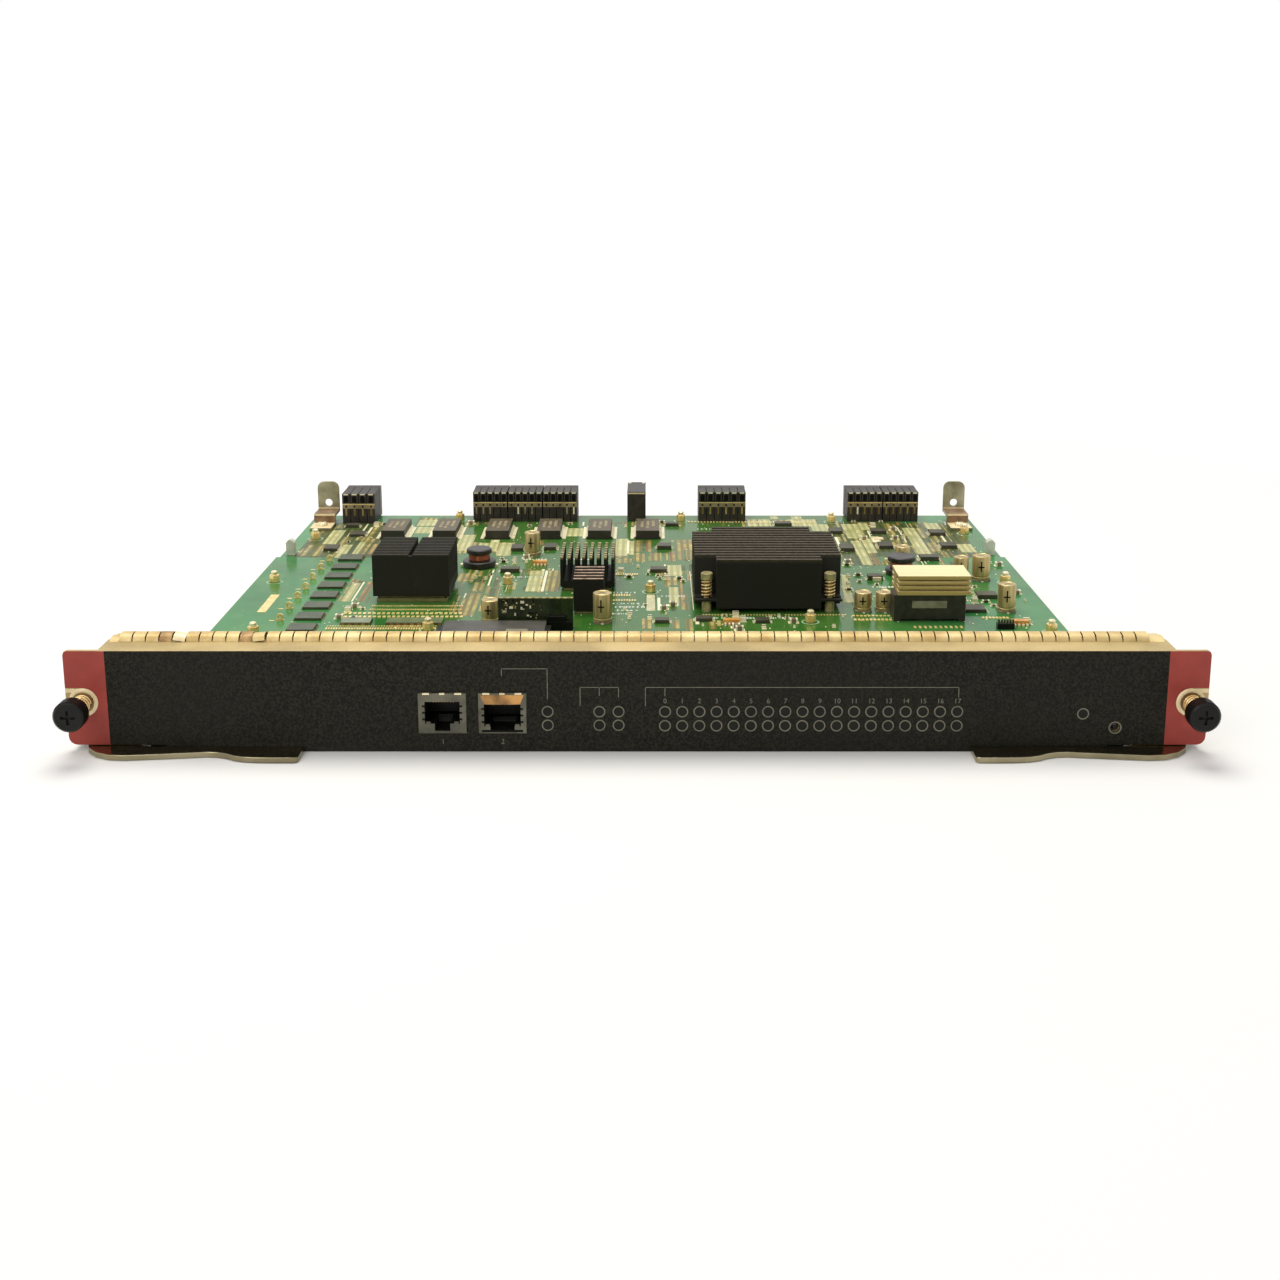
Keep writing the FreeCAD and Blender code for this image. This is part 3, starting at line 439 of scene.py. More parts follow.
finishes.update({
    "black_film": blackFilm(), "gold_anodised": goldAnodised(), "coreBrown": wrappedCore(),
    "capacitor_can": capacitorCan(), "circuit_board": circuitBoard(),
    # paler fin tops: a painted highlight on the large and twin sinks, bare cut metal on the middle and small ones
    "black_anodised": anodised("blackAnodised", "20221a", "483f31", 29.5, 31.3),
    "twin_anodised": anodised("twinAnodised", "24251e", "2d291e", 28.0, 29.1),
    "middle_anodised": anodised("middleAnodised", "191a14", "b3a877", 22.0, 23.2, 4.6),
    "small_anodised": anodised("smallAnodised", "191a14", "b49a86", 22.8, 23.05),
    "trace": traceBundle("traceBundle", "bfb068", "625e2a"), "tanTrace": traceBundle("tanTrace", "b69c5c", "69562b"),
    "paleTrace": traceBundle("paleTrace", "d3d09a", "9fa065"),
    "oliveTrace": traceBundle("oliveTrace", "5c6230", "354824")})
print("finishes ready:", len(finishes))


# Solids that keep their form, with eased edges: solids, finish, edge width in mm, slot where it isn't the finish (not
# used)
easedSolids = (
    ("front_panel", "panel_steel", 0.12), ("front_film", "black_film", 0.05),
    ("left_end_film right_end_film", "red_film", 0.06),
    ("left_board_bracket right_board_bracket left_lever_bracket right_lever_bracket", "plated_steel", 0.15),
    ("left_lever right_lever", "lever_steel", 0.25), ("left_rear_tab right_rear_tab", "plated_steel", 0.2),
    ("console_jack_shield management_jack_shield", "socket_steel", 0.08),
    ("console_jack_insert management_jack_insert", "black_plastic", 0.12),
    ("jack_contacts", "contact_gold", 0.05), ("light_holders", "light_pipe", 0.2),
    ("reset_switch", "black_plastic", 0.15), ("reset_button", "black_plastic", 0.1),
    ("main_board", "circuit_board", 0.1), ("edge_posts", "bare_aluminium", 0.25),
    ("chip_packages", "package_brown", 0.1), ("twin_heat_sink", "twin_anodised", 0.1, "black_anodised"),
    ("large_heat_sink", "black_anodised", 0.12), ("middle_heat_sink", "middle_anodised", 0.1, "black_anodised"),
    ("small_heat_sink", "small_anodised", 0.1, "black_anodised"),
    ("power_converter", "connectorBlack", 0.2, "black_plastic"), ("gold_heat_sink", "gold_anodised", 0.15),
    ("transformers", "coreBrown", 0.3, "chip_black"), ("memory_chips", "memoryGrey", 0.12, "chip_black"),
    ("flat_chips", "chip_black", 0.15), ("riser_card", "card_green", 0.08),
    ("riser_socket", "black_plastic", 0.15), ("riser_part", "black_plastic", 0.15, "chip_black"),
    ("memory_card", "card_grey", 0.2), ("memory_card_socket", "black_plastic", 0.2),
    ("rear_connector_far_left rear_connector_left rear_connector_right rear_connector_far_right",
     "connectorBlack", 0.12, "black_plastic"),
    ("guide_block", "connectorBlack", 0.3, "black_plastic"), ("thumb_ferrules", "ferrule", 0.1, "screw_steel"),
    ("lever_pivots", "screw_steel", 0.1))
plainPlates = ("main_board", "front_panel")  # wide faces that must shade flat
for solids, finish, width, *slot in easedSolids:
    for node in solids.split():
        eased(node, finish, width, 5 if node in plainPlates else 20)
print("eased solids ready")


# Spring fingers on the top flange; places are y and rise over the flange
fingerStrip = {"pitch": 4.73, "count": 77, "offset": -1.1, "slit": 0.5, "stock": 0.2, "tip": (10.7, 0.05),
               "crest": (15.4, 2.5), "root": (18.8, 0.15), "rear": 20.5, "overlap": 0.3, "edge": 186.4,
               "climb": (0.5, 0.85), "level": 1.6, "bentTip": (10.2, 0.5), "bentCrest": (14.2, 2.55),
               "lean": {4: 10.0, 10: -6.0}, "bentLitSlot": {4: 1, 10: 0}, "shaded": (3, 9),
               "tab": ((10.7, 0), (12.4, 0.9), (13.4, 1.1), (15.8, 1.1), (17, 0.8), (18.8, 0.2), (20.5, 0.2),
                       (20.5, 0))}


def fingerOutline(tip, crest):
    strip = fingerStrip
    tip, crest, root = [Vector((y, flangeTop + rise)) for y, rise in (tip, crest, strip["root"])]
    climb = Vector((strip["climb"][0], strip["climb"][1] * (crest.y - tip.y)))
    level = Vector((strip["level"], 0))
    rise = interpolate_bezier(tip, tip + climb, crest - 1.5 * level, crest, 8)
    fall = interpolate_bezier(crest, crest + level, root - level, root, 7)
    upper = [Vector(point[:2]) for point in rise + fall[1:]]
    lower = [point - Vector((0, strip["stock"])) for point in reversed(upper)]
    lower[-1] = upper[0] + Vector((strip["stock"], 0))
    outline = upper + [max(point, Vector((point.x, flangeTop)), key=lambda p: p.y) for point in lower]
    return [(point.x, point.y) for point in outline]


alongX = Matrix(((0, 0, 1, 0), (1, 0, 0, 0), (0, 1, 0, 0), (0, 0, 0, 1)))  # a drawn outline then runs along X


def contactStrip():
    strip = fingerStrip
    bm = bmesh.new()
    first = strip["offset"] - strip["pitch"] * strip["count"] / 2
    last = first + strip["pitch"] * strip["count"]
    width = strip["pitch"] - strip["slit"]
    straight = fingerOutline(strip["tip"], strip["crest"])
    bent = fingerOutline(strip["bentTip"], strip["bentCrest"])
    finger = prismOf(straight, width)
    # finger 4, bent up towards the light, takes the cream slot as a painted highlight; fingers 3 and 9, beside the bent
    # ones, take the darker slot as painted shade
    others = {i: prismOf(bent, width, slot) for i, slot in strip["bentLitSlot"].items()}
    others.update({i: prismOf(straight, width, 2) for i in strip["shaded"]})
    lowered = Matrix.Translation((-width / 2, 0, -flangeTop))
    for i in range(strip["count"]):
        tilt = Matrix.Rotation(math.radians(strip["lean"].get(i, 0)), 4, "Y")
        place = Matrix.Translation((first + (i + 0.5) * strip["pitch"], 0, flangeTop)) @ tilt
        stamp(bm, others.get(i, finger), place @ lowered @ alongX)
    root = (strip["root"][0] - strip["overlap"], strip["rear"])
    block(bm, (first, last), root, (flangeTop, flangeTop + strip["stock"]))
    outline = [(y, flangeTop + rise) for y, rise in strip["tab"]]
    for left, right in ((-strip["edge"], first), (last, strip["edge"])):
        stamp(bm, prismOf(outline, right - left), Matrix.Translation((left, 0, 0)) @ alongX)
    addPiece("contactStrip", bm, "finger_alloy cream fingerShade", ("contact_strip",), smooth=50)


contactStrip()
print("contact strip ready")


# Print on the film; places are x and z
panelPrint = {
    "ring": 2.1, "stroke": 0.42, "proud": 0.02, "line": 0.26, "lensGap": 0.1, "lights": 18, "firstLight": 9.76,
    "lightPitch": 6.01, "lightZ": (14.8, 9.6),
    "rings": [(x, z) for x in (-31.3, -13.2, -6.5) for z in (14.8, 9.8)] + [(156.0, 14.0)],
    "reset": (167.5, 8.9), "resetRing": 2.3, "resetStroke": 1.2 * 0.42,
    "runs": [((-47.2, 28.0), (-47.2, 30.5)), ((-47.2, 30.5), (-31.3, 30.5)), ((-31.3, 19.5), (-31.3, 30.5)),
             ((-19.9, 17.0), (-19.9, 23.7)), ((-19.9, 23.7), (-6.5, 23.7)), ((-13.2, 20.7), (-13.2, 23.7)),
             ((-6.5, 20.2), (-6.5, 23.7)), ((2.9, 17.0), (2.9, 23.7)), ((2.9, 23.7), (112.2, 23.7)),
             ((9.7, 20.6), (9.7, 23.7)), ((112.2, 20.2), (112.2, 23.7))],
    "numberSize": 2.5, "numberZ": 17.9, "socketNumbers": [(-68.1, 2.9, "1"), (-47.1, 2.9, "2")]}


def numeral(text, size, proud):
    curve = bpy.data.curves.new("numeral", "FONT")
    curve.body = text
    curve.size = size
    curve.align_x = "CENTER"
    curve.resolution_u = 3
    curve.extrude = proud / 2
    holder = shown("numeral", curve)
    shape = bpy.data.meshes.new_from_object(holder.evaluated_get(bpy.context.evaluated_depsgraph_get()))
    bpy.data.objects.remove(holder)
    bpy.data.curves.remove(curve)
    return shape


def filmPrint():
    drawn = panelPrint
    proud = drawn["proud"]
    bm, lenses = bmesh.new(), bmesh.new()
    inner = drawn["ring"] - drawn["stroke"]
    ring = ringOf(drawn["ring"], inner, proud)
    lens = discOf(inner - drawn["lensGap"], proud / 2)
    xs = [drawn["firstLight"] + i * drawn["lightPitch"] for i in range(drawn["lights"])]
    for x, z in drawn["rings"] + [(x, z) for x in xs for z in drawn["lightZ"]]:
        stamp(bm, ring, facing(x, filmFace, z))
        stamp(lenses, lens, facing(x, filmFace, z))
    x, z = drawn["reset"]
    stamp(bm, ringOf(drawn["resetRing"], drawn["resetRing"] - drawn["resetStroke"], proud), facing(x, filmFace, z))
    half = drawn["line"] / 2
    for (x0, z0), (x1, z1) in drawn["runs"]:
        block(bm, (x0 - half, x1 + half), (filmFace - proud, filmFace), (z0 - half, z1 + half))
    numbers = [(x, drawn["numberZ"], str(i)) for i, x in enumerate(xs)]
    for x, z, text in numbers + drawn["socketNumbers"]:
        stamp(bm, numeral(text, drawn["numberSize"], proud), facing(x, filmFace - proud / 2, z))
    addPiece("filmPrint", bm, "print")
    addPiece("lightLenses", lenses, "lens")


filmPrint()
print("film print ready")


# Captive thumbscrews
thumbSet = {"x": 193.4, "z": 18.2, "front": -16.5, "rear": -10.2, "radius": 5.25, "grip": 5.5, "ribs": 44,
            "ribWidth": 0.36, "rim": 0.6, "slot": 1.0, "cross": 5.0, "deep": 0.9, "neck": 1.7, "thread": 2.0,
            "ridge": 0.35, "pitch": 0.7, "threadFrom": 1.7, "threadTo": 7.5, "coil": 2.95, "wire": 0.7, "turns": 5,
            "gap": 0.05, "seat": -0.9, "washer": (3.0, 5.15), "edge": 199.3, "flat": (1.6, 0.1, 0.3)}


def crossOutline(length, width):
    l, w = length / 2, width / 2
    return [(l, w), (w, w), (w, l), (-w, l), (-w, w), (-l, w), (-l, -w), (-w, -w), (-w, -l), (w, -l), (w, -w), (l, -w)]


def knobShape():
    # upright knob: its front face up at z 0, with a cross recess, its back below
    knob = thumbSet
    bm = bmesh.new()
    outer = bmesh.ops.create_circle(bm, segments=48, radius=knob["radius"] - knob["rim"])["verts"]
    rimEdges = list({edge for vert in outer for edge in vert.link_edges})
    corners = [bm.verts.new((x, y, 0)) for x, y in crossOutline(knob["cross"], knob["slot"])]
    crossEdges = [bm.edges.new(pair) for pair in zip(corners, corners[1:] + corners[:1])]
    bmesh.ops.triangle_fill(bm, use_beauty=True, edges=rimEdges + crossEdges)
    sunk = bmesh.ops.extrude_edge_only(bm, edges=crossEdges)["geom"]
    bmesh.ops.translate(bm, verts=ofKind(sunk, bmesh.types.BMVert), vec=(0, 0, -knob["deep"]))
    bmesh.ops.holes_fill(bm, edges=ofKind(sunk, bmesh.types.BMEdge), sides=0)
    length = knob["rear"] - knob["front"]
    edges = rimEdges
    for radius, height in ((knob["radius"], -knob["rim"]), (knob["radius"], -length), (knob["neck"], -length)):
        grown = bmesh.ops.extrude_edge_only(bm, edges=edges)["geom"]
        edges = ofKind(grown, bmesh.types.BMEdge)
        for vert in ofKind(grown, bmesh.types.BMVert):
            flat = vert.co.xy.normalized() * radius
            vert.co = (flat.x, flat.y, height)
    bmesh.ops.holes_fill(bm, edges=edges, sides=0)
    rib = (0.4 - length, -knob["rim"] - 0.3)
    for i in range(knob["ribs"]):
        verts = block(bm, (knob["radius"] - 0.2, knob["grip"]), around(0, knob["ribWidth"]), rib)
        bmesh.ops.rotate(bm, verts=verts, cent=(0, 0, 0),
                         matrix=Matrix.Rotation(2 * math.pi * i / knob["ribs"], 3, "Z"))
    return shapeOf(bm)


def threadShape():
    screw = thumbSet
    bm = bmesh.new()
    neck, pitch = screw["neck"], screw["pitch"]
    core = screw["thread"] - screw["ridge"]
    length = screw["threadTo"] - screw["threadFrom"]
    low = screw["rear"] - screw["threadFrom"]
    profile = [(0, low), (neck, low), (neck, 0), (core, 0.1), (core, length - 0.4), (core - 0.4, length), (0, length)]
    stamp(bm, turned(profile, 32), Matrix())
    ridge = bmesh.new()
    corners = [(core - 0.05, 0.1), (screw["thread"], pitch / 2 + 0.1), (core - 0.05, pitch + 0.1)]
    ridge.faces.new([ridge.verts.new((radius, 0, height)) for radius, height in corners])
    steps = 24
    turns = (length - pitch - 0.6) / pitch
    bmesh.ops.spin(ridge, geom=ridge.verts[:] + ridge.edges[:] + ridge.faces[:], cent=(0, 0, 0), axis=(0, 0, 1),
                   dvec=(0, 0, pitch / steps), angle=2 * math.pi * turns, steps=round(steps * turns), use_merge=False)
    stamp(bm, shapeOf(ridge), Matrix())
    return shapeOf(bm)


def thumbscrews():
    made = thumbSet
    knob, thread = knobShape(), threadShape()
    spring = coilOf(made["coil"], made["wire"], made["turns"], made["seat"] - made["rear"] - 2 * made["gap"])
    inner, outer = made["washer"]
    washer = turned([(inner, 0), (outer, 0), (outer, 0.25), (outer - 0.5, 0.6), (inner, 0.6), (inner, 0)], 40)
    low, high, proud = made["flat"]
    towardsRear = towardsFront.inverted()
    # cream washers in the film windows and a cream strip out to each ear edge, brighter than the panel steel: partly
    # their own colour, partly painted highlight
    rims = bmesh.new()
    for side, sign in (("left", -1), ("right", 1)):
        x, z = sign * made["x"], made["z"]
        stamp(rims, washer, facing(x, 0, z))
        block(rims, (x, sign * made["edge"]), (-proud, 0), (z + outer - low, z + outer - high))
        turning = side + "_screw"
        for kind, shape, y, way, body, finish, smooth in (
                ("knob", knob, made["front"], towardsFront, turning, "black_plastic", 40),
                ("screw", thread, made["threadFrom"], towardsRear, turning, "screw_steel", 40),
                ("spring", spring, made["rear"] + made["gap"], towardsRear, "card", "spring_steel", 60)):
            bm = bmesh.new()
            stamp(bm, shape, Matrix.Translation((x, y, z)) @ way)
            node = side + "_thumb_" + kind
            piece = addPiece(camel(node), bm, finish, (node,), body, smooth)
        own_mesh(piece)
    addPiece("windowRims", rims, "cream")


thumbscrews()
print("thumbscrews ready")


# Round parts on the board; cans are x, y, radius and height
capacitorSet = {"base": 0.8, "ratio": 0.98, "cut": 0.35, "rim": 0.45, "waist": 0.35, "score": 0.22, "mark": (0.6, 2.8),
                "lead": (1.0, 0.9, 0.25),
                "cans": ((-15.8, 137.4, 4.1, 13.0), (-64.2, 137.4, 3.9, 10.0), (-54.0, 255.1, 3.85, 12.0),
                         (98.6, 154.4, 3.8, 8.7), (108.0, 154.4, 3.8, 8.7), (161.0, 207.6, 4.2, 11.9),
                         (161.8, 154.0, 3.95, 12.5), (151.0, 205.0, 3.5, 11.9), (127.5, 231.5, 3.6, 10.5))}


def crossBars(bm, length, width, zSpan, x, y, turn):
    for angle in (turn, turn + 90):
        bar = bmesh.new()
        block(bar, around(0, length), around(0, width), zSpan, 1)
        stamp(bm, shapeOf(bar), spot(x, y, 0, angle))


def capacitors():
    # drawn can on a chamfered base, rolled rims, a scored top whose grooves are dark bars of painted shade, and a dark
    # polarity mark
    made = capacitorSet
    bm = bmesh.new()
    base, rim, waist = made["base"], made["rim"], made["waist"]
    line, bar = made["mark"]
    leadWidth, reach, rise = made["lead"]
    for x, y, radius, height in made["cans"]:
        top = height - base
        profile = [(0, 0), (radius - 0.15, 0), (radius, 0.3), (radius, 0.9), (radius - waist, 1.2),
                   (radius - waist, 1.5), (radius, 1.8), (radius, top - rim), (radius - 0.12, top - 0.15),
                   (radius - rim, top), (radius - rim - 0.25, top - 0.2), (0, top - 0.2)]
        stamp(bm, turned(profile, 32), spot(x, y, boardTop + base))
        half = radius * made["ratio"]
        cut = made["cut"] * radius
        corners = [(-half, -half), (half - cut, -half), (half, cut - half), (half, half - cut), (half - cut, half),
                   (-half, half)]
        stamp(bm, prismOf(corners, base, 3), spot(x, y, boardTop))
        crossBars(bm, 1.3 * radius, made["score"], onBoard(height - 0.17, height - 0.22), x, y, 45)
        low = boardTop + base + 0.35 * top
        side, front = x - 0.15 * radius, y - radius
        block(bm, around(side, line), (front - 0.02, front + 0.3), (low, low + 0.45 * top), 1)
        block(bm, around(side, bar), (front - 0.02, front + 0.4), around(low + 0.2 * top, line), 1)
        for sign in (-1, 1):
            block(bm, around(x, leadWidth), (y + sign * half, y + sign * (half + reach)), onBoard(rise), 2)
    addPiece("capacitors", bm, "capacitor_can black_plastic tin ceramic", ("capacitors",))


# drums are x, y and the radius of foot, winding and cap
inductorSet = {"drums": ((-78.5, 233.3, 8.0, 5.2, 6.1), (125.0, 218.3, 7.6, 5.4, 6.7)), "base": 3.2, "core": 6.6,
               "height": 9.0, "wire": 0.62, "turns": 5, "pad": (2.4, 2.6, 1.1)}


def inductors():
    made = inductorSet
    bm = bmesh.new()
    wire, low, high = made["wire"], made["base"], made["core"]
    width, depth, rise = made["pad"]
    for x, y, foot, core, cap in made["drums"]:
        for radius, start, end in ((foot, 0, low), (cap, high, made["height"])):
            flange = [(0, start), (radius - 0.3, start), (radius, start + 0.3), (radius, end - 0.5),
                      (radius - 0.5, end), (0, end)]
            stamp(bm, turned(flange, 40), spot(x, y, boardTop))
        place = spot(x, y, boardTop + low)
        stamp(bm, coilOf(core - wire / 2, wire, made["turns"], high - low, 32, 1), place)
        stamp(bm, discOf(core - wire, high - low, 24, 1), place)
        for sign in (-1, 1):
            block(bm, around(x + sign * foot, width), around(y, depth), onBoard(rise), 2)
    addPiece("inductors", bm, "ferrite copper tin", ("inductors",))


# screws are x, y and seat over the board
hardware = {
    "standoffs": ((-171.8, 203.1), (171.3, 201.3), (174.2, 121.7), (-162.1, 118.2), (-61.9, 199.5), (4.9, 185.4),
                  (-99.1, 334.0), (21.6, 331.5), (103.2, 329.1), (73.8, 136.6), (-89.5, 124.6), (-169.5, 289.6),
                  (170.7, 301.3)),
    "hex": 2.45, "hexHeight": 3.6, "stem": 1.5, "stemTop": 5.4, "pad": 3.9,
    "screws": ((140.0, 10.0, 1.6), (170.6, 314.0, 1.5)), "head": 2.75, "headHeight": 2.0, "shank": 1.45, "tail": 0.5}


def standoffs():
    made = hardware
    bm = bmesh.new()
    body = bmesh.new()
    bmesh.ops.create_cone(body, cap_ends=True, cap_tris=False, segments=6, radius1=made["hex"], radius2=made["hex"],
                          depth=made["hexHeight"], matrix=Matrix.Translation((0, 0, made["hexHeight"] / 2)))
    soften(body, 0.2)
    body = shapeOf(body)
    radius, top = made["stem"], made["stemTop"]
    stem = turned([(0, 3.4), (radius, 3.4), (radius, 4.1), (1.1, 4.3), (radius, 4.5), (radius, top - 0.4),
                   (radius - 0.4, top), (0, top)], 24, 1)
    pad = ringOf(made["pad"], made["pad"] - 0.7, 0.05, 32, 2)
    for i, (x, y) in enumerate(made["standoffs"]):
        for shape, turn in ((body, 15 * i), (stem, 0), (pad, 0)):
            stamp(bm, shape, spot(x, y, boardTop, turn))
    addPiece("standoffs", bm, "brass screw_steel silkDim", ("standoffs",))


def boardScrews():
    made = hardware
    bm = bmesh.new()
    shank, rim = made["shank"], made["head"]
    low = boardLow - made["tail"]
    for sign in (-1, 1):
        for x, y, seat in made["screws"]:
            head = boardTop + seat
            high = head + made["headHeight"]
            profile = [(0, low), (shank - 0.3, low), (shank, low + 0.3), (shank, head), (rim, head), (rim, head + 0.9),
                       (rim - 0.5, high - 0.3), (rim - 1.2, high), (0, high)]
            stamp(bm, turned(profile, 32), spot(sign * x, y, 0))
            # the cross recess is drawn as dark bars on the head: painted shade
            crossBars(bm, 2.6, 0.5, (high - 0.3, high + 0.01), sign * x, y, 30)
    addPiece("boardScrews", bm, "screw_steel darkSlot", ("board_screws",))


pushPinSet = {"xs": (29.6, 83.8), "ys": (154.2, 209.6), "foot": 2.1, "shaft": 1.2, "cap": 2.6, "footTop": 12.4,
              "capLow": 21.6, "capHigh": 24.7, "springLow": 13.4, "coil": 2.05, "wire": 0.8, "turns": 5}


def pushPins():
    made = pushPinSet
    pins, springs = bmesh.new(), bmesh.new()
    foot, shaft, cap = made["foot"], made["shaft"], made["cap"]
    step, low, high = made["footTop"], made["capLow"], made["capHigh"]
    pin = turned([(0, boardTop), (foot, boardTop), (foot, step - 0.3), (foot - 0.3, step), (shaft, step), (shaft, low),
                  (cap - 0.2, low), (cap, low + 0.2), (cap, high - 0.4), (cap - 0.4, high), (0, high)], 28)
    coil = coilOf(made["coil"], made["wire"], made["turns"], low - made["springLow"])
    for x in made["xs"]:
        for y in made["ys"]:
            stamp(pins, pin, spot(x, y, 0))
            stamp(springs, coil, spot(x, y, made["springLow"]))
    addPiece("pushPins", pins, "pinGrey", ("push_pins",))
    addPiece("pushPinSprings", springs, "spring_steel", ("push_pin_springs",), smooth=60)


capacitors()
inductors()
standoffs()
boardScrews()
pushPins()
print("round parts ready")


# Copper and pads that show through the mask: left, right, front, rear
traceStrips = ((-170.6, -167.2, 253, 276.5), (-164.9, -160.8, 253, 276.5), (-155.4, -153, 277, 294),
               (-141.7, -138.6, 254, 290), (-143, -140.2, 291, 329), (-92.5, -87.9, 259, 286),
               (-87, -82.3, 261, 282), (-76, -68, 261, 282), (-43.8, -37.9, 186, 224), (-86.4, -78.6, 204, 218.5),
               (-77.8, -73.1, 186, 202), (-78.5, -72.6, 146, 184), (-12.4, -8.1, 249.5, 286), (-3.9, 0.8, 262, 286),
               (-2.3, 2.2, 241, 257.5), (4.7, 10.4, 243, 259.5), (18, 21.8, 245.5, 288), (22.9, 26.2, 245.5, 288),
               (13.4, 17.8, 197, 212), (-12, -4.4, 239, 247), (109.5, 117.8, 290, 320), (117.9, 121.4, 309, 327),
               (130.9, 134.5, 277, 325.5), (146.8, 150.3, 292, 314.5), (108.4, 113.1, 254, 285),
               (114.2, 117.4, 257, 286.5), (110.3, 114.1, 236, 251), (147.2, 152.2, 262, 281.5),
               (151.3, 154.1, 250, 262), (1.2, 5.2, 126.5, 141.5), (14.3, 17.4, 126.5, 139.5),
               (20.1, 23.1, 123.5, 141.5), (29.8, 33.1, 125.5, 140.5), (33.4, 35.5, 130, 138.8), (60, 70, 318, 326),
               (72, 80, 322, 334), (83, 92, 318, 328), (-120, -112, 322, 338), (-111, -104, 320, 336))
tanStrips = ((-137.6, -134.9, 257, 278), (2.6, 5.4, 262, 286), (18.4, 19.8, 162, 212), (-127.6, -124.5, 169, 203),
             (-126, -112.6, 129.6, 130.6), (-107.3, -93.9, 128.6, 131.5))
brightStrips = ((-153.6, -152.8, 260, 273), (-147, -145.6, 293.5, 306.5), (-45.6, -44.4, 186, 224),
                (-7, -5.9, 258, 286), (120, 120.8, 295, 307.5), (136.9, 137.7, 282, 316.5),
                (101.2, 102.6, 262, 293.5), (120.2, 123.8, 282, 291.5), (23.7, 24.05, 155, 222.7),
                (24.2, 25.8, 133, 140.5), (-130.1, -129.3, 169, 203), (-82.4, -80.4, 267, 272.5),
                (-76.2, -74.1, 282.5, 287))
paleStrips = ((57.8, 63.2, 318.8, 335.2), (63.8, 70.2, 318.8, 335.2), (70.9, 75.2, 335.6, 343),
              (71.8, 73.4, 318.8, 332), (80.1, 84.9, 318.8, 335.2), (82.6, 88.1, 335.6, 342.7),
              (85.4, 91.2, 318.8, 335.2), (91.4, 95.3, 307.7, 335.2), (95.5, 100.7, 307.7, 323),
              (107.9, 117.2, 290.7, 323.8), (117.5, 122.4, 310.1, 327.2), (108.9, 113.9, 235, 285),
              (114.5, 119.4, 259.4, 290), (119.5, 124.5, 281.8, 295.2), (-121, -110.9, 319.5, 334),
              (-120, -110.3, 302, 317), (-94.4, -86.6, 263.6, 298.6), (-83.1, -78, 263.6, 280.7),
              (-77.8, -73.2, 263.6, 287.3), (-72.4, -65.3, 253.2, 280.7), (-42, -29.1, 295.2, 313.6),
              (-12.8, -6.5, 253.2, 289.6), (-5.9, -3.4, 255.3, 285.1), (-164, -157, 278, 309),
              (139.6, 146.3, 256, 314.5), (153, 160.5, 311, 326), (162, 169.7, 260.5, 278), (-145, -142, 252.5, 283),
              (-52.8, -46.4, 186, 224), (-134.7, -130.8, 169, 201), (-152.7, -147.8, 249.5, 276.5),
              (13.3, 19.9, 214, 235), (13.4, 17.8, 162, 193.5))


# Fields of irregular copper around the drawn strips: left, right, front, rear, share that shows
copperFields = {"seed": 7, "thick": (0.035, 0.04, 0.05, 0.03, 0.045), "ground": 0.006, "tones": (0, 0, 0, 1, 2, 3, 3),
                "widths": (0.6, 0.9, 1.4, 2.2, 3.2), "gaps": (0.35, 0.6, 1.1), "lengths": (5, 22), "start": (0, 6),
                "pauses": (0.8, 4), "slanted": ((92.0, 167.4), (96.3, 167.4), (98.8, 216.0), (96.2, 216.0)),
                "grounds": ((-173, -134, 250, 312), (-168, -134, 312, 327), (100, 141, 252, 329),
                            (141, 170, 250, 326), (104, 118, 234, 252)),
                "zones": ((-172, -134, 251, 327, 0.5), (100, 170, 232, 329, 0.5), (-100, -42, 256, 287, 0.55),
                          (-14, 30, 240, 287, 0.55), (-136, -121, 164, 208, 0.6), (-84, -66, 150, 226, 0.75),
                          (-96, 24, 319, 329, 0.5), (26, 98, 318, 334, 0.5), (-62, -38, 184, 228, 0.8),
                          (8, 24, 150, 236, 0.4), (92, 106, 160, 228, 0.35), (-134, -100, 318, 340, 0.45))}


def boardCopper():
    made = copperFields
    thick = made["thick"]
    bm = bmesh.new()
    for slot, strips in enumerate((traceStrips, tanStrips, brightStrips, (), paleStrips)):
        for left, right, front, rear in strips:
            block(bm, (left, right), (front, rear), onBoard(thick[slot]), slot)
    stamp(bm, prismOf(made["slanted"], thick[4] + 0.01, 4), spot(0, 0, boardTop))
    for left, right, front, rear in made["grounds"]:
        block(bm, (left, right), (front, rear), onBoard(made["ground"]), 3)
    draw = random.Random(made["seed"])
    for left, right, front, rear, share in made["zones"]:
        x = left
        while x < right:
            width = draw.choice(made["widths"])
            y = front + draw.uniform(*made["start"])
            while y < rear:
                length = draw.uniform(*made["lengths"])
                slot = draw.choice(made["tones"])
                if draw.random() < share:
                    wide = 0.4 * width if slot == 2 else width
                    block(bm, (x, x + wide), (y, min(y + length, rear)), onBoard(thick[slot] - 0.02), slot)
                y += length + draw.uniform(*made["pauses"])
            x += width + draw.choice(made["gaps"])
    addPiece("boardCopper", bm, "trace tanTrace tin oliveTrace paleTrace")


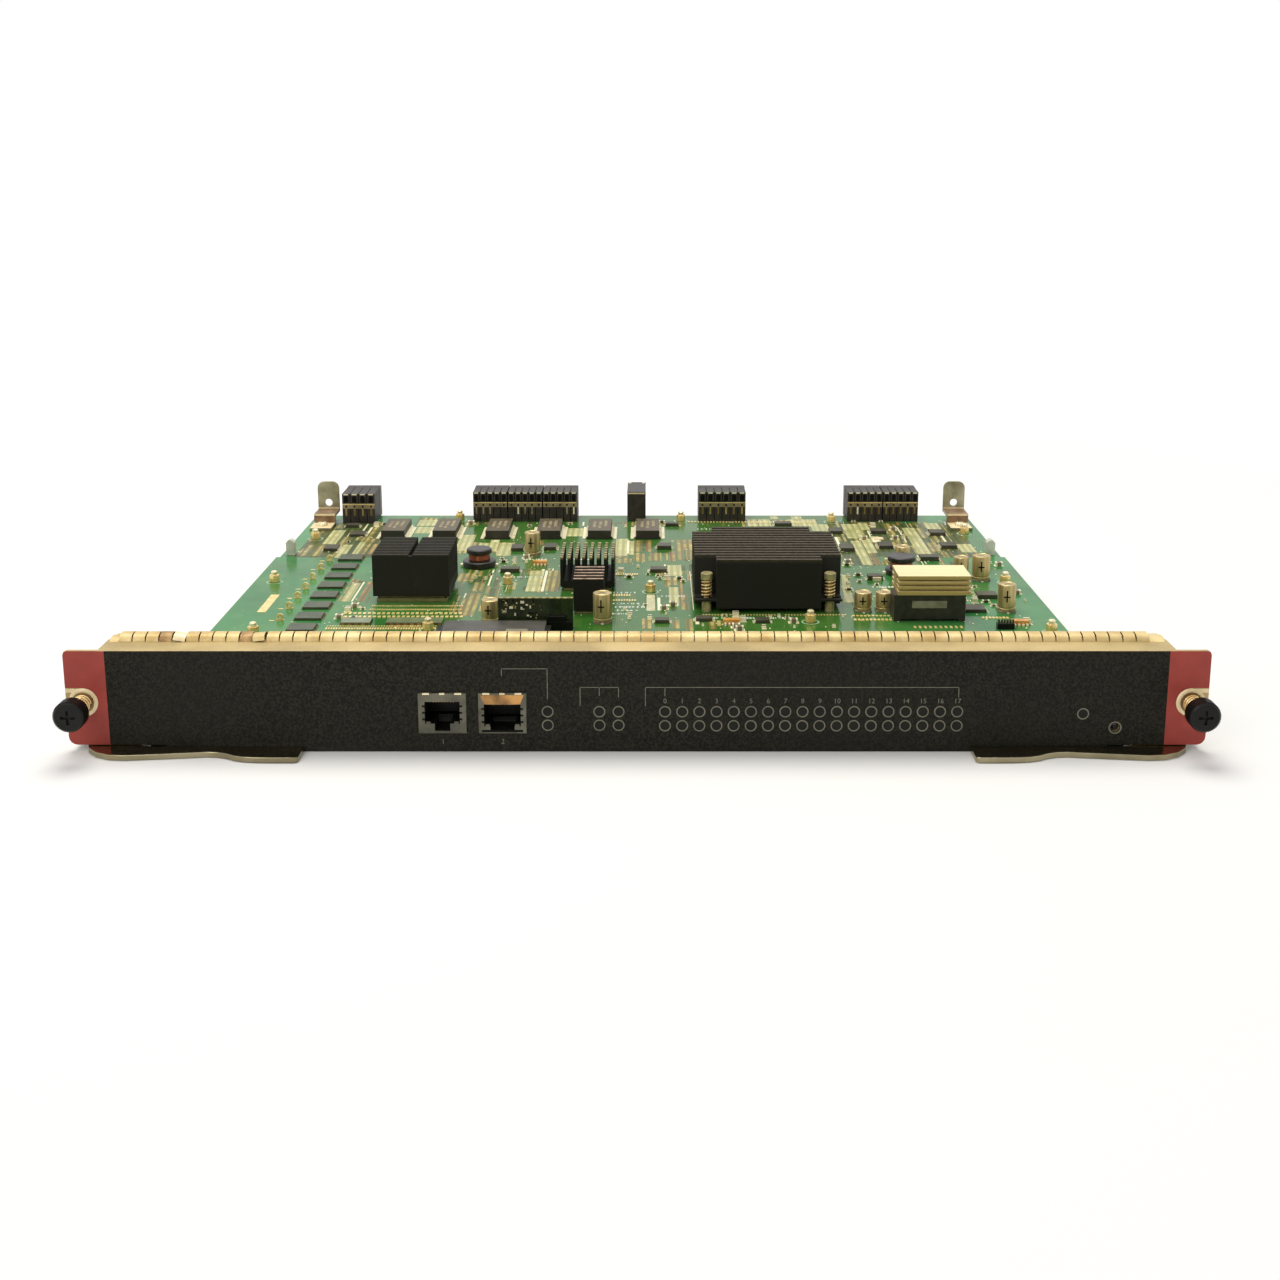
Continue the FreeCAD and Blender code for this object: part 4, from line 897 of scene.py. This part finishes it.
# Rows of small gold pads: first x, last x, y, pitch, width, depth
padRows = ((-129, -77, 149.4, 2.1, 1.3, 2.4), (-128, -77, 144.1, 2.1, 1.3, 2.4), (-119, -79, 155.5, 1.05, 0.75, 1.3),
           (-119, -79, 161.3, 1.05, 0.75, 1.3), (-133, -84, 126, 1.1, 0.7, 2.4), (93.5, 109, 139.5, 1.7, 1.1, 2.4),
           (93.5, 109, 145.5, 1.7, 1.1, 1.6), (149.5, 161, 142.5, 1.5, 1.0, 2.4),
           (-12.4, -0.5, 216.5, 1.1, 0.7, 3.0), (-13, -4.2, 179, 1.2, 0.7, 3.4), (-12.9, -1, 170.5, 1.2, 0.7, 2.4),
           (60, 94, 327.5, 1.7, 1.0, 2.4), (26, 58, 328.5, 1.7, 1.0, 2.0), (117.6, 139, 128.3, 2.2, 1.0, 2.6),
           (-133, -86, 129.5, 1.1, 0.6, 1.2), (28, 60, 147, 1.3, 0.7, 1.2), (64, 90, 147, 1.3, 0.7, 1.2))


# Rows of fine white marks: first x, last x, y
markRows = ((-12, -2, 184), (-12, 0, 165.5), (-11, 2, 160), (-10, -1, 154.5), (-12, -3, 149), (30, 52, 142.5),
            (56, 66, 142.5), (-58, -46, 246), (-38, -26, 246), (104, 116, 178), (108, 118, 194), (-176, -168, 262),
            (-128, -118, 210), (142, 152, 190), (60, 84, 312), (30, 48, 312), (-60, -46, 212), (8, 20, 178))


# Test loops at the left, and sizes of the pads and marks
goldSet = {"loops": ((-153.5, 244.1), (-154.7, 227.4), (-155, 209.2), (-154.7, 191.3), (-155.2, 175.6),
                     (-155.4, 158.3), (-155.4, 139.7)),
           "outer": 1.6, "inner": 0.6, "wire": 1.0, "sunk": 0.2, "footRise": 0.15, "padRise": 0.3,
           "bar": ((-168.4, -164.5), (151.5, 180.4)), "barRise": 0.12, "seed": 3, "markWidths": (0.4, 0.7, 1.0),
           "markDepths": (1.2, 2.0, 2.6), "markGaps": (0.3, 0.5, 1.2), "markRise": 0.06}


def goldPads():
    made = goldSet
    bm = bmesh.new()
    for first, last, y, pitch, width, depth in padRows:
        for i in range(int((last - first) / pitch) + 1):
            block(bm, around(first + i * pitch, width), around(y, depth), onBoard(made["padRise"]))
    loop = ringOf(made["outer"], made["inner"], made["wire"], 20)
    for x, y in made["loops"]:
        stamp(bm, loop, facing(x, y, boardTop + made["outer"] - made["sunk"]))
        block(bm, around(x, 3.2), around(y - 0.3, 1.6), onBoard(made["footRise"]))
        block(bm, (x - 4.6, x - 2.4), around(y - 1.6, 1.2), onBoard(made["footRise"]))
    block(bm, *made["bar"], onBoard(made["barRise"]))
    draw = random.Random(made["seed"])
    for first, last, y in markRows:
        x = first
        while x < last:
            width = draw.choice(made["markWidths"])
            block(bm, (x, x + width), around(y, draw.choice(made["markDepths"])), onBoard(made["markRise"]), 1)
            x += width + draw.choice(made["markGaps"])
    addPiece("goldPads", bm, "goldPad silk")


boardCopper()
goldPads()
print("board copper ready")


# Leads of the flat packages
def leadShape(reach, width, rise, stock, slot=0):
    # gull wing: out of the side, down and out again on the board, pointing along +X
    half = reach / 2
    outline = [(-0.2, rise), (0.35 * half, rise), (half, stock), (reach, stock), (reach, 0), (half - stock, 0),
               (0.35 * half - stock, rise - stock), (-0.2, rise - stock)]
    lead = prismOf(outline, width, slot)
    lead.transform(Matrix(((1, 0, 0, 0), (0, 0, 1, -width / 2), (0, 1, 0, 0), (0, 0, 0, 1))))
    return lead


def leadRows(bm, lead, x, width, ySpan, count):
    # one row at each side of a package
    front, rear = ySpan
    for sign, turn in ((1, 0), (-1, 180)):
        for i in range(count):
            y = front + (i + 0.5) * (rear - front) / count
            stamp(bm, lead, spot(x + sign * width / 2, y, boardTop, turn))


# transformers: xs, width, y span, leads a side; memory: x, width, first y, pitch, chips, depth, leads a side
leadSet = {"transformers": ((-129.2, -102.4, -74.8, -48.1, -21.6, 3.5), 12.2, (289.5, 315.7), 12),
           "lead": (2.8, 1.75, 1.5, 0.3), "fineLead": (0.9, 0.35, 0.6, 0.1, 1), "wing": (1.3, 0.5, 0.9, 0.12),
           "marks": ((-2.9, 296, 305), (-2.7, 306, 309), (-0.1, 294.5, 299), (0.2, 300.5, 310), (3.0, 298, 311)),
           "markWidth": 1.5, "markZ": (4.84, 4.78), "memory": (-143.45, 11.5, 121.1, 17.3, 8, 10.2, 11), "wings": 6,
           "chips": ((8.8, 223.0, 8.0, 6.0), (104.7, 267.0, 7.0, 9.0), (124.8, 272.0, 7.0, 9.0),
                     (156.0, 300.5, 8.0, 8.0), (157.0, 272.0, 8.0, 8.0), (142.8, 245.5, 9.0, 6.0),
                     (157.5, 176.5, 9.0, 7.0), (148.0, 155.0, 9.0, 9.0), (-156.8, 267.0, 7.0, 9.0),
                     (-148.9, 298.5, 8.0, 8.0), (-62.5, 267.0, 6.0, 9.0), (-46.0, 269.0, 6.0, 9.0))}


def packageLeads():
    made = leadSet
    bm = bmesh.new()
    xs, width, span, count = made["transformers"]
    lead, fine, wing = [leadShape(*made[key]) for key in ("lead", "fineLead", "wing")]
    for x in xs:
        leadRows(bm, lead, x, width, span, count)
        for offset, front, rear in made["marks"]:
            block(bm, around(x + offset, made["markWidth"]), (front, rear), onBoard(*made["markZ"]), 1)
    x, width, first, pitch, chips, depth, count = made["memory"]
    for i in range(chips):
        front = first + i * pitch
        leadRows(bm, fine, x, width, (front, front + depth), count)
    for x, y, width, depth in made["chips"]:
        leadRows(bm, wing, x, width, around(y, depth), made["wings"])
    addPiece("packageLeads", bm, "tin faintMark")


packageLeads()
print("package leads ready")


# Small parts soldered to the board; zones are x and y spans and how many, chips x, y, width, depth and height
smallParts = {"seed": 11, "specks": 420, "speckSizes": (0.4, 0.5, 0.7), "speckX": (-150, 172), "speckY": (122, 336),
              "gap": 2.5, "kinds": ((2.0, 1.25, 0.9, 1), (3.2, 1.6, 1.1, 2), (1.6, 0.8, 0.7, 2), (3.4, 2.6, 1.8, 1)),
              "wing": (1.2, 0.5, 0.8, 0.12), "wings": 4, "edge": 0.15,
              "zones": ((-134, -122, 140, 165, 8), (-80, -58, 204, 225, 12), (-72, -56, 236, 262, 14),
                        (-40, -14, 222, 250, 12), (-12, 22, 190, 240, 16), (-10, 22, 142, 168, 10),
                        (26, 60, 124, 146, 14), (60, 92, 124, 146, 10), (92, 106, 160, 250, 14),
                        (106, 140, 160, 215, 16), (100, 140, 286, 330, 14), (142, 176, 225, 262, 12),
                        (142, 160, 160, 200, 10), (166, 178, 130, 200, 5), (-160, -120, 280, 330, 14),
                        (-95, 20, 318, 328, 14), (30, 95, 218, 300, 30), (-178, 178, 24, 110, 120)),
              "chips": ((9.8, 136.5, 6, 4.5, 1.6), (28, 139.5, 7, 5, 1.6), (53.1, 136.5, 6, 4.5, 1.6),
                        (111.1, 208.5, 7, 5, 2.2), (125.5, 304, 8, 6, 1.8), (103, 304, 7, 7, 1.8),
                        (76.5, 321, 9, 5, 1.8), (11.9, 270, 7, 7, 2), (16.6, 320, 7, 4, 1.8),
                        (-62.6, 222.5, 9, 4.5, 2), (-155, 318, 7, 5, 1.5))}


def smallPart(length, width, height, body):
    bm = bmesh.new()
    block(bm, around(0, 0.56 * length), around(0, width), (0, 0.96 * height), body)
    for sign in (-1, 1):
        block(bm, (sign * 0.28 * length, sign * length / 2), around(0, 1.04 * width), (0, height))
        block(bm, (sign * 0.3 * length, sign * 0.68 * length), around(0, 1.3 * width), (0, 0.05))
    return shapeOf(bm)


def footprint(x, y, halfWidth, halfDepth):
    return Vector((x - halfWidth, y - halfDepth, 0)), Vector((x + halfWidth, y + halfDepth, 0))


def keepOut():
    # footprints already taken by what stands on the board
    taken = [cardBox(node) for node in ("twin_heat_sink", "large_heat_sink", "middle_heat_sink", "small_heat_sink",
                                        "power_converter", "gold_heat_sink", "riser_socket", "memory_card_socket",
                                        "guide_block")]
    taken += [footprint(x, y, radius, radius) for x, y, radius, height in capacitorSet["cans"]]
    taken += [footprint(x, y, foot, foot) for x, y, foot, core, cap in inductorSet["drums"]]
    taken += [footprint(x, y, 4, 4) for x, y in hardware["standoffs"]]
    for x, y, width, depth, *height in leadSet["chips"] + smallParts["chips"]:
        taken.append(footprint(x, y, width / 2 + 2, depth / 2))
    return taken + [footprint(x, 302.5, 9, 15.5) for x in leadSet["transformers"][0]]


def boardParts():
    made = smallParts
    draw = random.Random(made["seed"])
    taken = keepOut()
    bm = bmesh.new()
    kinds = [smallPart(*kind) for kind in made["kinds"]]
    gap = made["gap"]
    for left, right, front, rear, count in made["zones"]:
        for _ in range(count):
            x, y = draw.uniform(left, right), draw.uniform(front, rear)
            turn = draw.choice((0, 90))
            kind = draw.choice(kinds)
            if any(a.x - gap < x < b.x + gap and a.y - gap < y < b.y + gap for a, b in taken):
                continue
            taken.append(footprint(x, y, 1, 1))
            stamp(bm, kind, spot(x, y, boardTop, turn))
    for _ in range(made["specks"]):
        x, y = draw.uniform(*made["speckX"]), draw.uniform(*made["speckY"])
        size = draw.choice(made["speckSizes"])
        block(bm, around(x, size), around(y, 1.6 * size), onBoard(0.12))
    wing = leadShape(*made["wing"])
    for x, y, width, depth, height in made["chips"]:
        verts = block(bm, around(x, width), around(y, depth), onBoard(height, 0.1), 2)
        edges = list({edge for vert in verts for edge in vert.link_edges})
        bmesh.ops.bevel(bm, geom=edges, offset=made["edge"], offset_type="OFFSET", segments=1, profile=0.5,
                        affect="EDGES", material=-1)
        leadRows(bm, wing, x, width, around(y, depth), made["wings"])
    addPiece("boardParts", bm, "tin ceramic chip_black")


boardParts()
print("small parts ready")


# Fronts and mating faces of the rear connectors; rows are first x, modules, columns, module width and front
connectorSet = {"rows": {"farLeft": (-161.9, 1, 4, 18.2, 325.7), "left": (-91.5, 3, 5, 19.0, 330.0),
                         "right": (31.2, 1, 6, 26.0, 330.0), "farRight": (112.0, 2, 5, 19.5, 330.0)},
                "back": (348.6, 349.05), "gap": 0.3, "wafer": 0.3, "inset": 0.2, "proud": 0.12, "tick": (22.8, 23.4),
                "cell": (18.6, 22.3), "line": (17.55, 18.0), "band": (15.3, 17.5), "hole": 16.5, "holeRadius": 0.55,
                "stem": (11.4, 15.3), "bright": {"left": (6, 14), "farRight": (1,)},
                "bare": {"left": (3, 4, 5, 9, 10, 11, 12)}, "stemTone": {"left": 4}, "pins": 8, "pinLow": 8.6,
                "pinPitch": 1.85, "pinSize": (0.7, 0.95), "pinOffset": 0.22}


def archOutline(width, low, high, steps=8):
    half = width / 2
    arc = [(half * math.cos(math.pi * i / steps), high - half + half * math.sin(math.pi * i / steps))
           for i in range(steps + 1)]
    return [(-half, low), (half, low)] + arc


def connectorFaces():
    # front: ticks of painted highlight along the top edge, dark arches of painted shade in the cells, a bright line, a
    # tan band with holes in painted shade, stems; back: rows of contact holes in painted shade
    made = connectorSet
    bm = bmesh.new()
    proud = made["proud"]
    hole = discOf(made["holeRadius"], proud + 0.05, 14, 3)
    pinWidth, pinHeight = made["pinSize"]
    for name, (first, modules, columns, moduleWidth, front) in made["rows"].items():
        face = (front - proud, front + 0.2)
        bright, bare = made["bright"].get(name, ()), made["bare"].get(name, ())
        for m in range(modules):
            left = first + m * moduleWidth
            right = left + moduleWidth - made["gap"]
            column = (right - left) / columns
            wafer = column - made["wafer"]
            arch = prismOf(archOutline(0.55 * wafer, *made["cell"]), 0.1, 3)
            inside = (left + made["inset"], right - made["inset"])
            block(bm, inside, face, made["line"], 1)
            block(bm, inside, (face[0] + 0.03, face[1]), made["band"], 4)
            for c in range(columns):
                middle = left + (c + 0.5) * column
                index = m * columns + c
                block(bm, around(middle, 0.62 * wafer), face, made["tick"])
                stamp(bm, arch, facing(middle, front, 0))
                stamp(bm, hole, facing(middle, front, made["hole"]))
                if index not in bare:
                    tone = 0 if index in bright else made["stemTone"].get(name, 2)
                    block(bm, around(middle, 0.24 * wafer), face, made["stem"], tone)
                for row in range(made["pins"]):
                    z = made["pinLow"] + row * made["pinPitch"]
                    for side in (-1, 1):
                        x = middle + side * made["pinOffset"] * column
                        block(bm, around(x, pinWidth), made["back"], around(z, pinHeight), 3)
    addPiece("connectorFaces", bm, "tin goldPad tanTrace darkSlot faintMark")


# Solder points under the board: pin fields under the connectors, and single joints below tall parts
solderSet = {"rows": 8, "pitch": 1.9, "first": 1.2, "pin": 0.55, "rise": 0.7, "joint": 1.0, "jointRise": 0.9,
             "inset": 3}


def solderPoints():
    made = solderSet
    bm = bmesh.new()
    pin, rise = made["pin"], made["rise"]
    point = turned([(0, 0), (pin, 0), (0.7 * pin, -0.3), (0.3 * pin, -rise), (0, -rise)], 8)
    for first, modules, columns, moduleWidth, front in connectorSet["rows"].values():
        pitch = moduleWidth / (2 * columns)
        for i in range(2 * columns * modules):
            for row in range(made["rows"]):
                y = front + made["first"] + row * made["pitch"]
                stamp(bm, point, spot(first + (i + 0.5) * pitch, y, boardLow))
    wide, rise = made["joint"], made["jointRise"]
    joint = turned([(0, 0), (wide, 0), (0.6 * wide, -0.4), (0.35 * wide, -rise), (0, -rise)], 12)
    places = [(x + sign * foot, y) for x, y, foot, core, cap in inductorSet["drums"] for sign in (-1, 1)]
    low, high = cardBox("power_converter")
    inset = made["inset"]
    places += [(x, y) for x in (low.x + inset, high.x - inset) for y in (low.y + inset, high.y - inset)]
    places += [(x, y) for x in pushPinSet["xs"] for y in pushPinSet["ys"]]
    for x, y in places + list(hardware["standoffs"]):
        stamp(bm, joint, spot(x, y, boardLow))
    addPiece("solderPoints", bm, "tin", smooth=60)


connectorFaces()
solderPoints()
print("connector faces ready")


# Labels, riser parts and other single details
detailSet = {"tones": "whiteLabel paleLabel orange tin dullBrown black_plastic trace cream tanTrace hazeTop tabShade "
                      "twin_anodised",
             "boardLabel": ((3.1, 6.9), (153.8, 180.5)), "converterLabel": ((117.5, 132.5), (13.2, 16.4)),
             "cardLabel": ((-55, -46), (96, 110)), "orangeSockets": ((-52.6, 233.5), (36, 132), (159.7, 130.5)),
             "headerPins": 6, "headerX": 152.8, "headerPitch": 1.2, "header": ((152.2, 159.4), (125.2, 128.4)),
             "seed": 5, "riserParts": 38, "riserLow": 12.2, "riserTones": ("tin", "black_plastic", "trace", "tin"),
             "riserSizes": ((1.0, 0.6), (0.6, 1.2), (1.6, 1.0), (0.5, 0.5)), "tabX": 170.6, "tabWidth": 11.2,
             "tabs": (((320.9, 321.2), (12.5, 13.46), "cream"), ((333.9, 334.2), (13.4, 14.4), "cream"),
                      ((320.95, 321.2), (8.7, 12.5), "tabShade"), ((321.2, 333.9), (13.3, 13.43), "tabShade"),
                      ((308.1, 320.9), (8.6, 8.73), "cream")),
             "sheenChips": ((-121.8, 12.7), (-96.7, 23.9)),
             "creamParts": ((121.9, 241.5, 3.2, 2.4, 1.6), (123.8, 290.0, 5.0, 5.0, 0.3),
                            (111.7, 205.2, 4.0, 1.2, 1.7)),
             "lip": ((165.2, 171.0, 0.5), (171.0, 173.2, 2.26)), "gapShadeDepth": (0.15, 0.85), "lipTop": 2.45,
             "web": 1.9, "webLow": 14.5}


def details():
    made = detailSet
    tones = made["tones"].split()
    bm = bmesh.new()

    def add(tone, xSpan, ySpan, zSpan):
        block(bm, xSpan, ySpan, zSpan, tones.index(tone))

    converter, card, riser, twin, guide = [cardBox(node) for node in (
        "power_converter", "memory_card", "riser_card", "twin_heat_sink", "guide_block")]
    add("whiteLabel", *made["boardLabel"], onBoard(0.08))
    xSpan, zSpan = made["converterLabel"]
    add("paleLabel", xSpan, (converter[0].y - 0.08, converter[0].y + 0.1), zSpan)
    add("paleLabel", *made["cardLabel"], (card[1].z, card[1].z + 0.06))
    for x, y in made["orangeSockets"]:
        add("orange", (x, x + 7), (y, y + 3.4), onBoard(2.2))
        for i in range(4):
            add("tin", around(x + 0.9 + 1.75 * i, 0.8), (y - 1.2, y + 0.2), onBoard(1.0))
    for i in range(made["headerPins"]):
        add("dullBrown", around(made["headerX"] + made["headerPitch"] * i, 0.7), (125.6, 126.4), onBoard(4.2))
    add("black_plastic", *made["header"], onBoard(2.4))
    low, high = riser
    draw = random.Random(made["seed"])
    for _ in range(made["riserParts"]):
        x = draw.uniform(low.x + 1.5, high.x - 13)
        z = draw.uniform(made["riserLow"], high.z - 1)
        width, height = draw.choice(made["riserSizes"])
        tone = draw.choice(made["riserTones"])
        add(tone, around(x, width), (low.y - 0.4, low.y + 0.05), around(z, height))
    add("trace", (low.x, high.x), (low.y - 0.02, high.y + 0.02), (high.z - 0.35, high.z + 0.02))
    for sign in (-1, 1):
        # painted highlights on the rear tabs' folds and foot, painted shade on the shelf and its riser
        for ySpan, zSpan, tone in made["tabs"]:
            add(tone, around(sign * made["tabX"], made["tabWidth"]), ySpan, zSpan)
        for near, far, bottom in made["lip"]:  # a black block that closes the view under each ear: painted shade in the gap between ear and lever
            add("black_plastic", (sign * near, sign * far), made["gapShadeDepth"], (bottom, made["lipTop"]))
    # lighter top skins on two chips: a painted sheen
    for x, width in made["sheenChips"]:
        add("hazeTop", around(x, width), (132.1, 139.6), onBoard(1.12, 1.0))
        add("tanTrace", around(x, width), (131.72, 131.85), onBoard(0.75, 0.1))
    for x, y, width, depth, rise in made["creamParts"]:
        add("cream", around(x, width), around(y, depth), onBoard(rise))
    low, high = twin  # its front fin runs across the channel between the two halves
    add("twin_anodised", around((low.x + high.x) / 2, made["web"]), (low.y + 0.05, low.y + 1.4),
        (made["webLow"], high.z - 0.6))
    low, high = guide
    # a cream line along the front top edge: a painted highlight
    add("cream", (low.x + 0.5, high.x - 0.5), (low.y - 0.05, low.y + 0.2), (high.z - 1.1, high.z - 0.4))
    for x in (low.x + 1.2, high.x - 1.2):
        add("tin", around(x, 1.6), (high.y - 3.4, high.y - 1.2), (high.z - 0.1, high.z + 0.03))
    addPiece("boardDetails", bm, made["tones"])


# sockets are middle and width of the mouth, and its height from and to
jackSet = {"sockets": ((-68.1, 12.2, 10.6, 18.6), (-47.1, 12.8, 9.6, 17.6)), "teeth": (0.2, 0.5, 0.8),
           "dashes": ((-5.6, 2.4), (0.0, 1.8), (5.6, 2.4)), "sill": (16.0, (7.1, 7.4)), "shade": (14.4, (7.5, 8.3)),
           "flap": ((-7.6, 0), (7.6, 0), (6.3, -3.3), (-6.3, -3.3)), "tilt": -4}


def jackTrim():
    # bright grounding dashes over each socket, dark notches beside its mouth in painted shade, a block of painted shade
    # below the second mouth, a sloped flap over the second
    made = jackSet
    bm = bmesh.new()
    shield = cardBox("console_jack_shield")
    top, front = shield[1].z, shield[0].y
    sill, sillZ = made["sill"]
    for middle, width, low, high in made["sockets"]:
        for offset, length in made["dashes"]:
            block(bm, around(middle + offset, length), (front - 0.12, front + 0.4), (top - 0.45, top + 0.12))
        for sign in (-1, 1):
            edge = middle + sign * width / 2
            for share in made["teeth"]:
                z = low + share * (high - low)
                block(bm, (edge, edge + sign * 0.9), (front - 0.05, front + 0.1), around(z, 0.7), 2)
            block(bm, around(edge - sign * 1.2, 1.5), (front - 0.1, front + 0.3), (low - 0.1, low + 0.8), 3)
        block(bm, around(middle, sill), (front - 0.06, front + 0.1), sillZ, 3)
    shade, shadeZ = made["shade"]
    block(bm, around(middle, shade), (front - 0.05, front + 0.1), shadeZ, 2)
    tilt = Matrix.Rotation(math.radians(made["tilt"]), 4, "X")
    stamp(bm, prismOf(made["flap"], 0.12, 1), Matrix.Translation((middle, front, top - 0.6)) @ tilt @ towardsFront)
    addPiece("jackTrim", bm, "screw_steel flap darkSlot socket_steel")


details()
jackTrim()
print("details ready")


# Floor, light and camera
stageSet = {"floor": 4.0, "floorTone": 0.9, "floorRough": 0.9, "nearFade": 0.22, "farFade": 0.55, "ambient": 0.42}


def seenDirectly(tree):
    # the camera, metal and glass see the white background; soft light stays at the room's level
    rays = addNode(tree, "LightPath").outputs
    seen = rays["Is Camera Ray"]
    for ray in ("Is Glossy Ray", "Is Transmission Ray"):
        seen = addNode(tree, "Math", {"operation": "MAXIMUM"}, _0=seen, _1=rays[ray]).outputs[0]
    return seen


def studio():
    bm = bmesh.new()
    bmesh.ops.create_grid(bm, x_segments=2, y_segments=2, size=stageSet["floor"])
    floor = shown("floor", meshOf("floor", bm))
    made = Finish("paleFloor", 0, 0)
    made.shader.inputs["Base Color"].default_value = [stageSet["floorTone"]] * 3 + [1]
    made.shader.inputs["Roughness"].default_value = stageSet["floorRough"]
    reach = made.add("VectorMath", {"operation": "LENGTH"}, _0=made.place).outputs["Value"]
    fade = made.mapped(reach, 0, 1, stageSet["nearFade"], stageSet["farFade"])  # to white, away from the card
    glow = made.add("Emission").outputs[0]
    mix = made.add("MixShader", Fac=made.times(fade, seenDirectly(made.tree)), _1=made.shader.outputs[0], _2=glow)
    made.tree.links.new(mix.outputs[0], made.tree.nodes["Material Output"].inputs["Surface"])
    floor.data.materials.append(made.material)

    world = bpy.data.worlds.new("studio")
    scene.world = world
    world.use_nodes = True
    tree = world.node_tree
    back = tree.nodes["Background"]
    back.inputs["Color"].default_value = (1, 1, 1, 1)
    strength = addNode(tree, "MapRange", {"To Min": stageSet["ambient"]}, Value=seenDirectly(tree))
    tree.links.new(strength.outputs["Result"], back.inputs["Strength"])


# Lamps: place, aim, size and power in watts
lamps = {"overhead": ((-0.1, 0.25, 1.3), (0, 0.02, 0), 1.0, 15), "front": ((-0.7, -1.2, 0.9), (0, -0.1, 0.02), 0.9, 6)}
warmWhite = (1.0, 0.96, 0.89)


def addLamps():
    for name, (place, aim, size, power) in lamps.items():
        lamp = bpy.data.lights.new(name, "AREA")
        lamp.shape = "DISK"
        lamp.size = size
        lamp.energy = power
        lamp.color = warmWhite
        holder = shown(name, lamp)
        holder.location = place
        holder.rotation_mode = "QUATERNION"
        holder.rotation_quaternion = (Vector(aim) - Vector(place)).to_track_quat("-Z", "Y")


cameraSet = {"place": (4.01, -550.0, 209.2), "pitch": 12.874, "sensor": 36, "lens": 46.59, "shift": (-0.0067, -0.09375),
             "near": 0.05}


def addCamera():
    camera = bpy.data.cameras.new("camera")
    camera.sensor_width = cameraSet["sensor"]
    camera.lens = cameraSet["lens"]
    camera.shift_x, camera.shift_y = cameraSet["shift"]
    camera.clip_start = cameraSet["near"]
    holder = shown("camera", camera)
    holder.location = cardToRow @ Vector(cameraSet["place"])
    holder.rotation_euler = (math.radians(90 - cameraSet["pitch"]), 0, 0)
    scene.camera = holder


studio()
addLamps()
addCamera()
scene.view_settings.view_transform = "Standard"
print("stage ready")
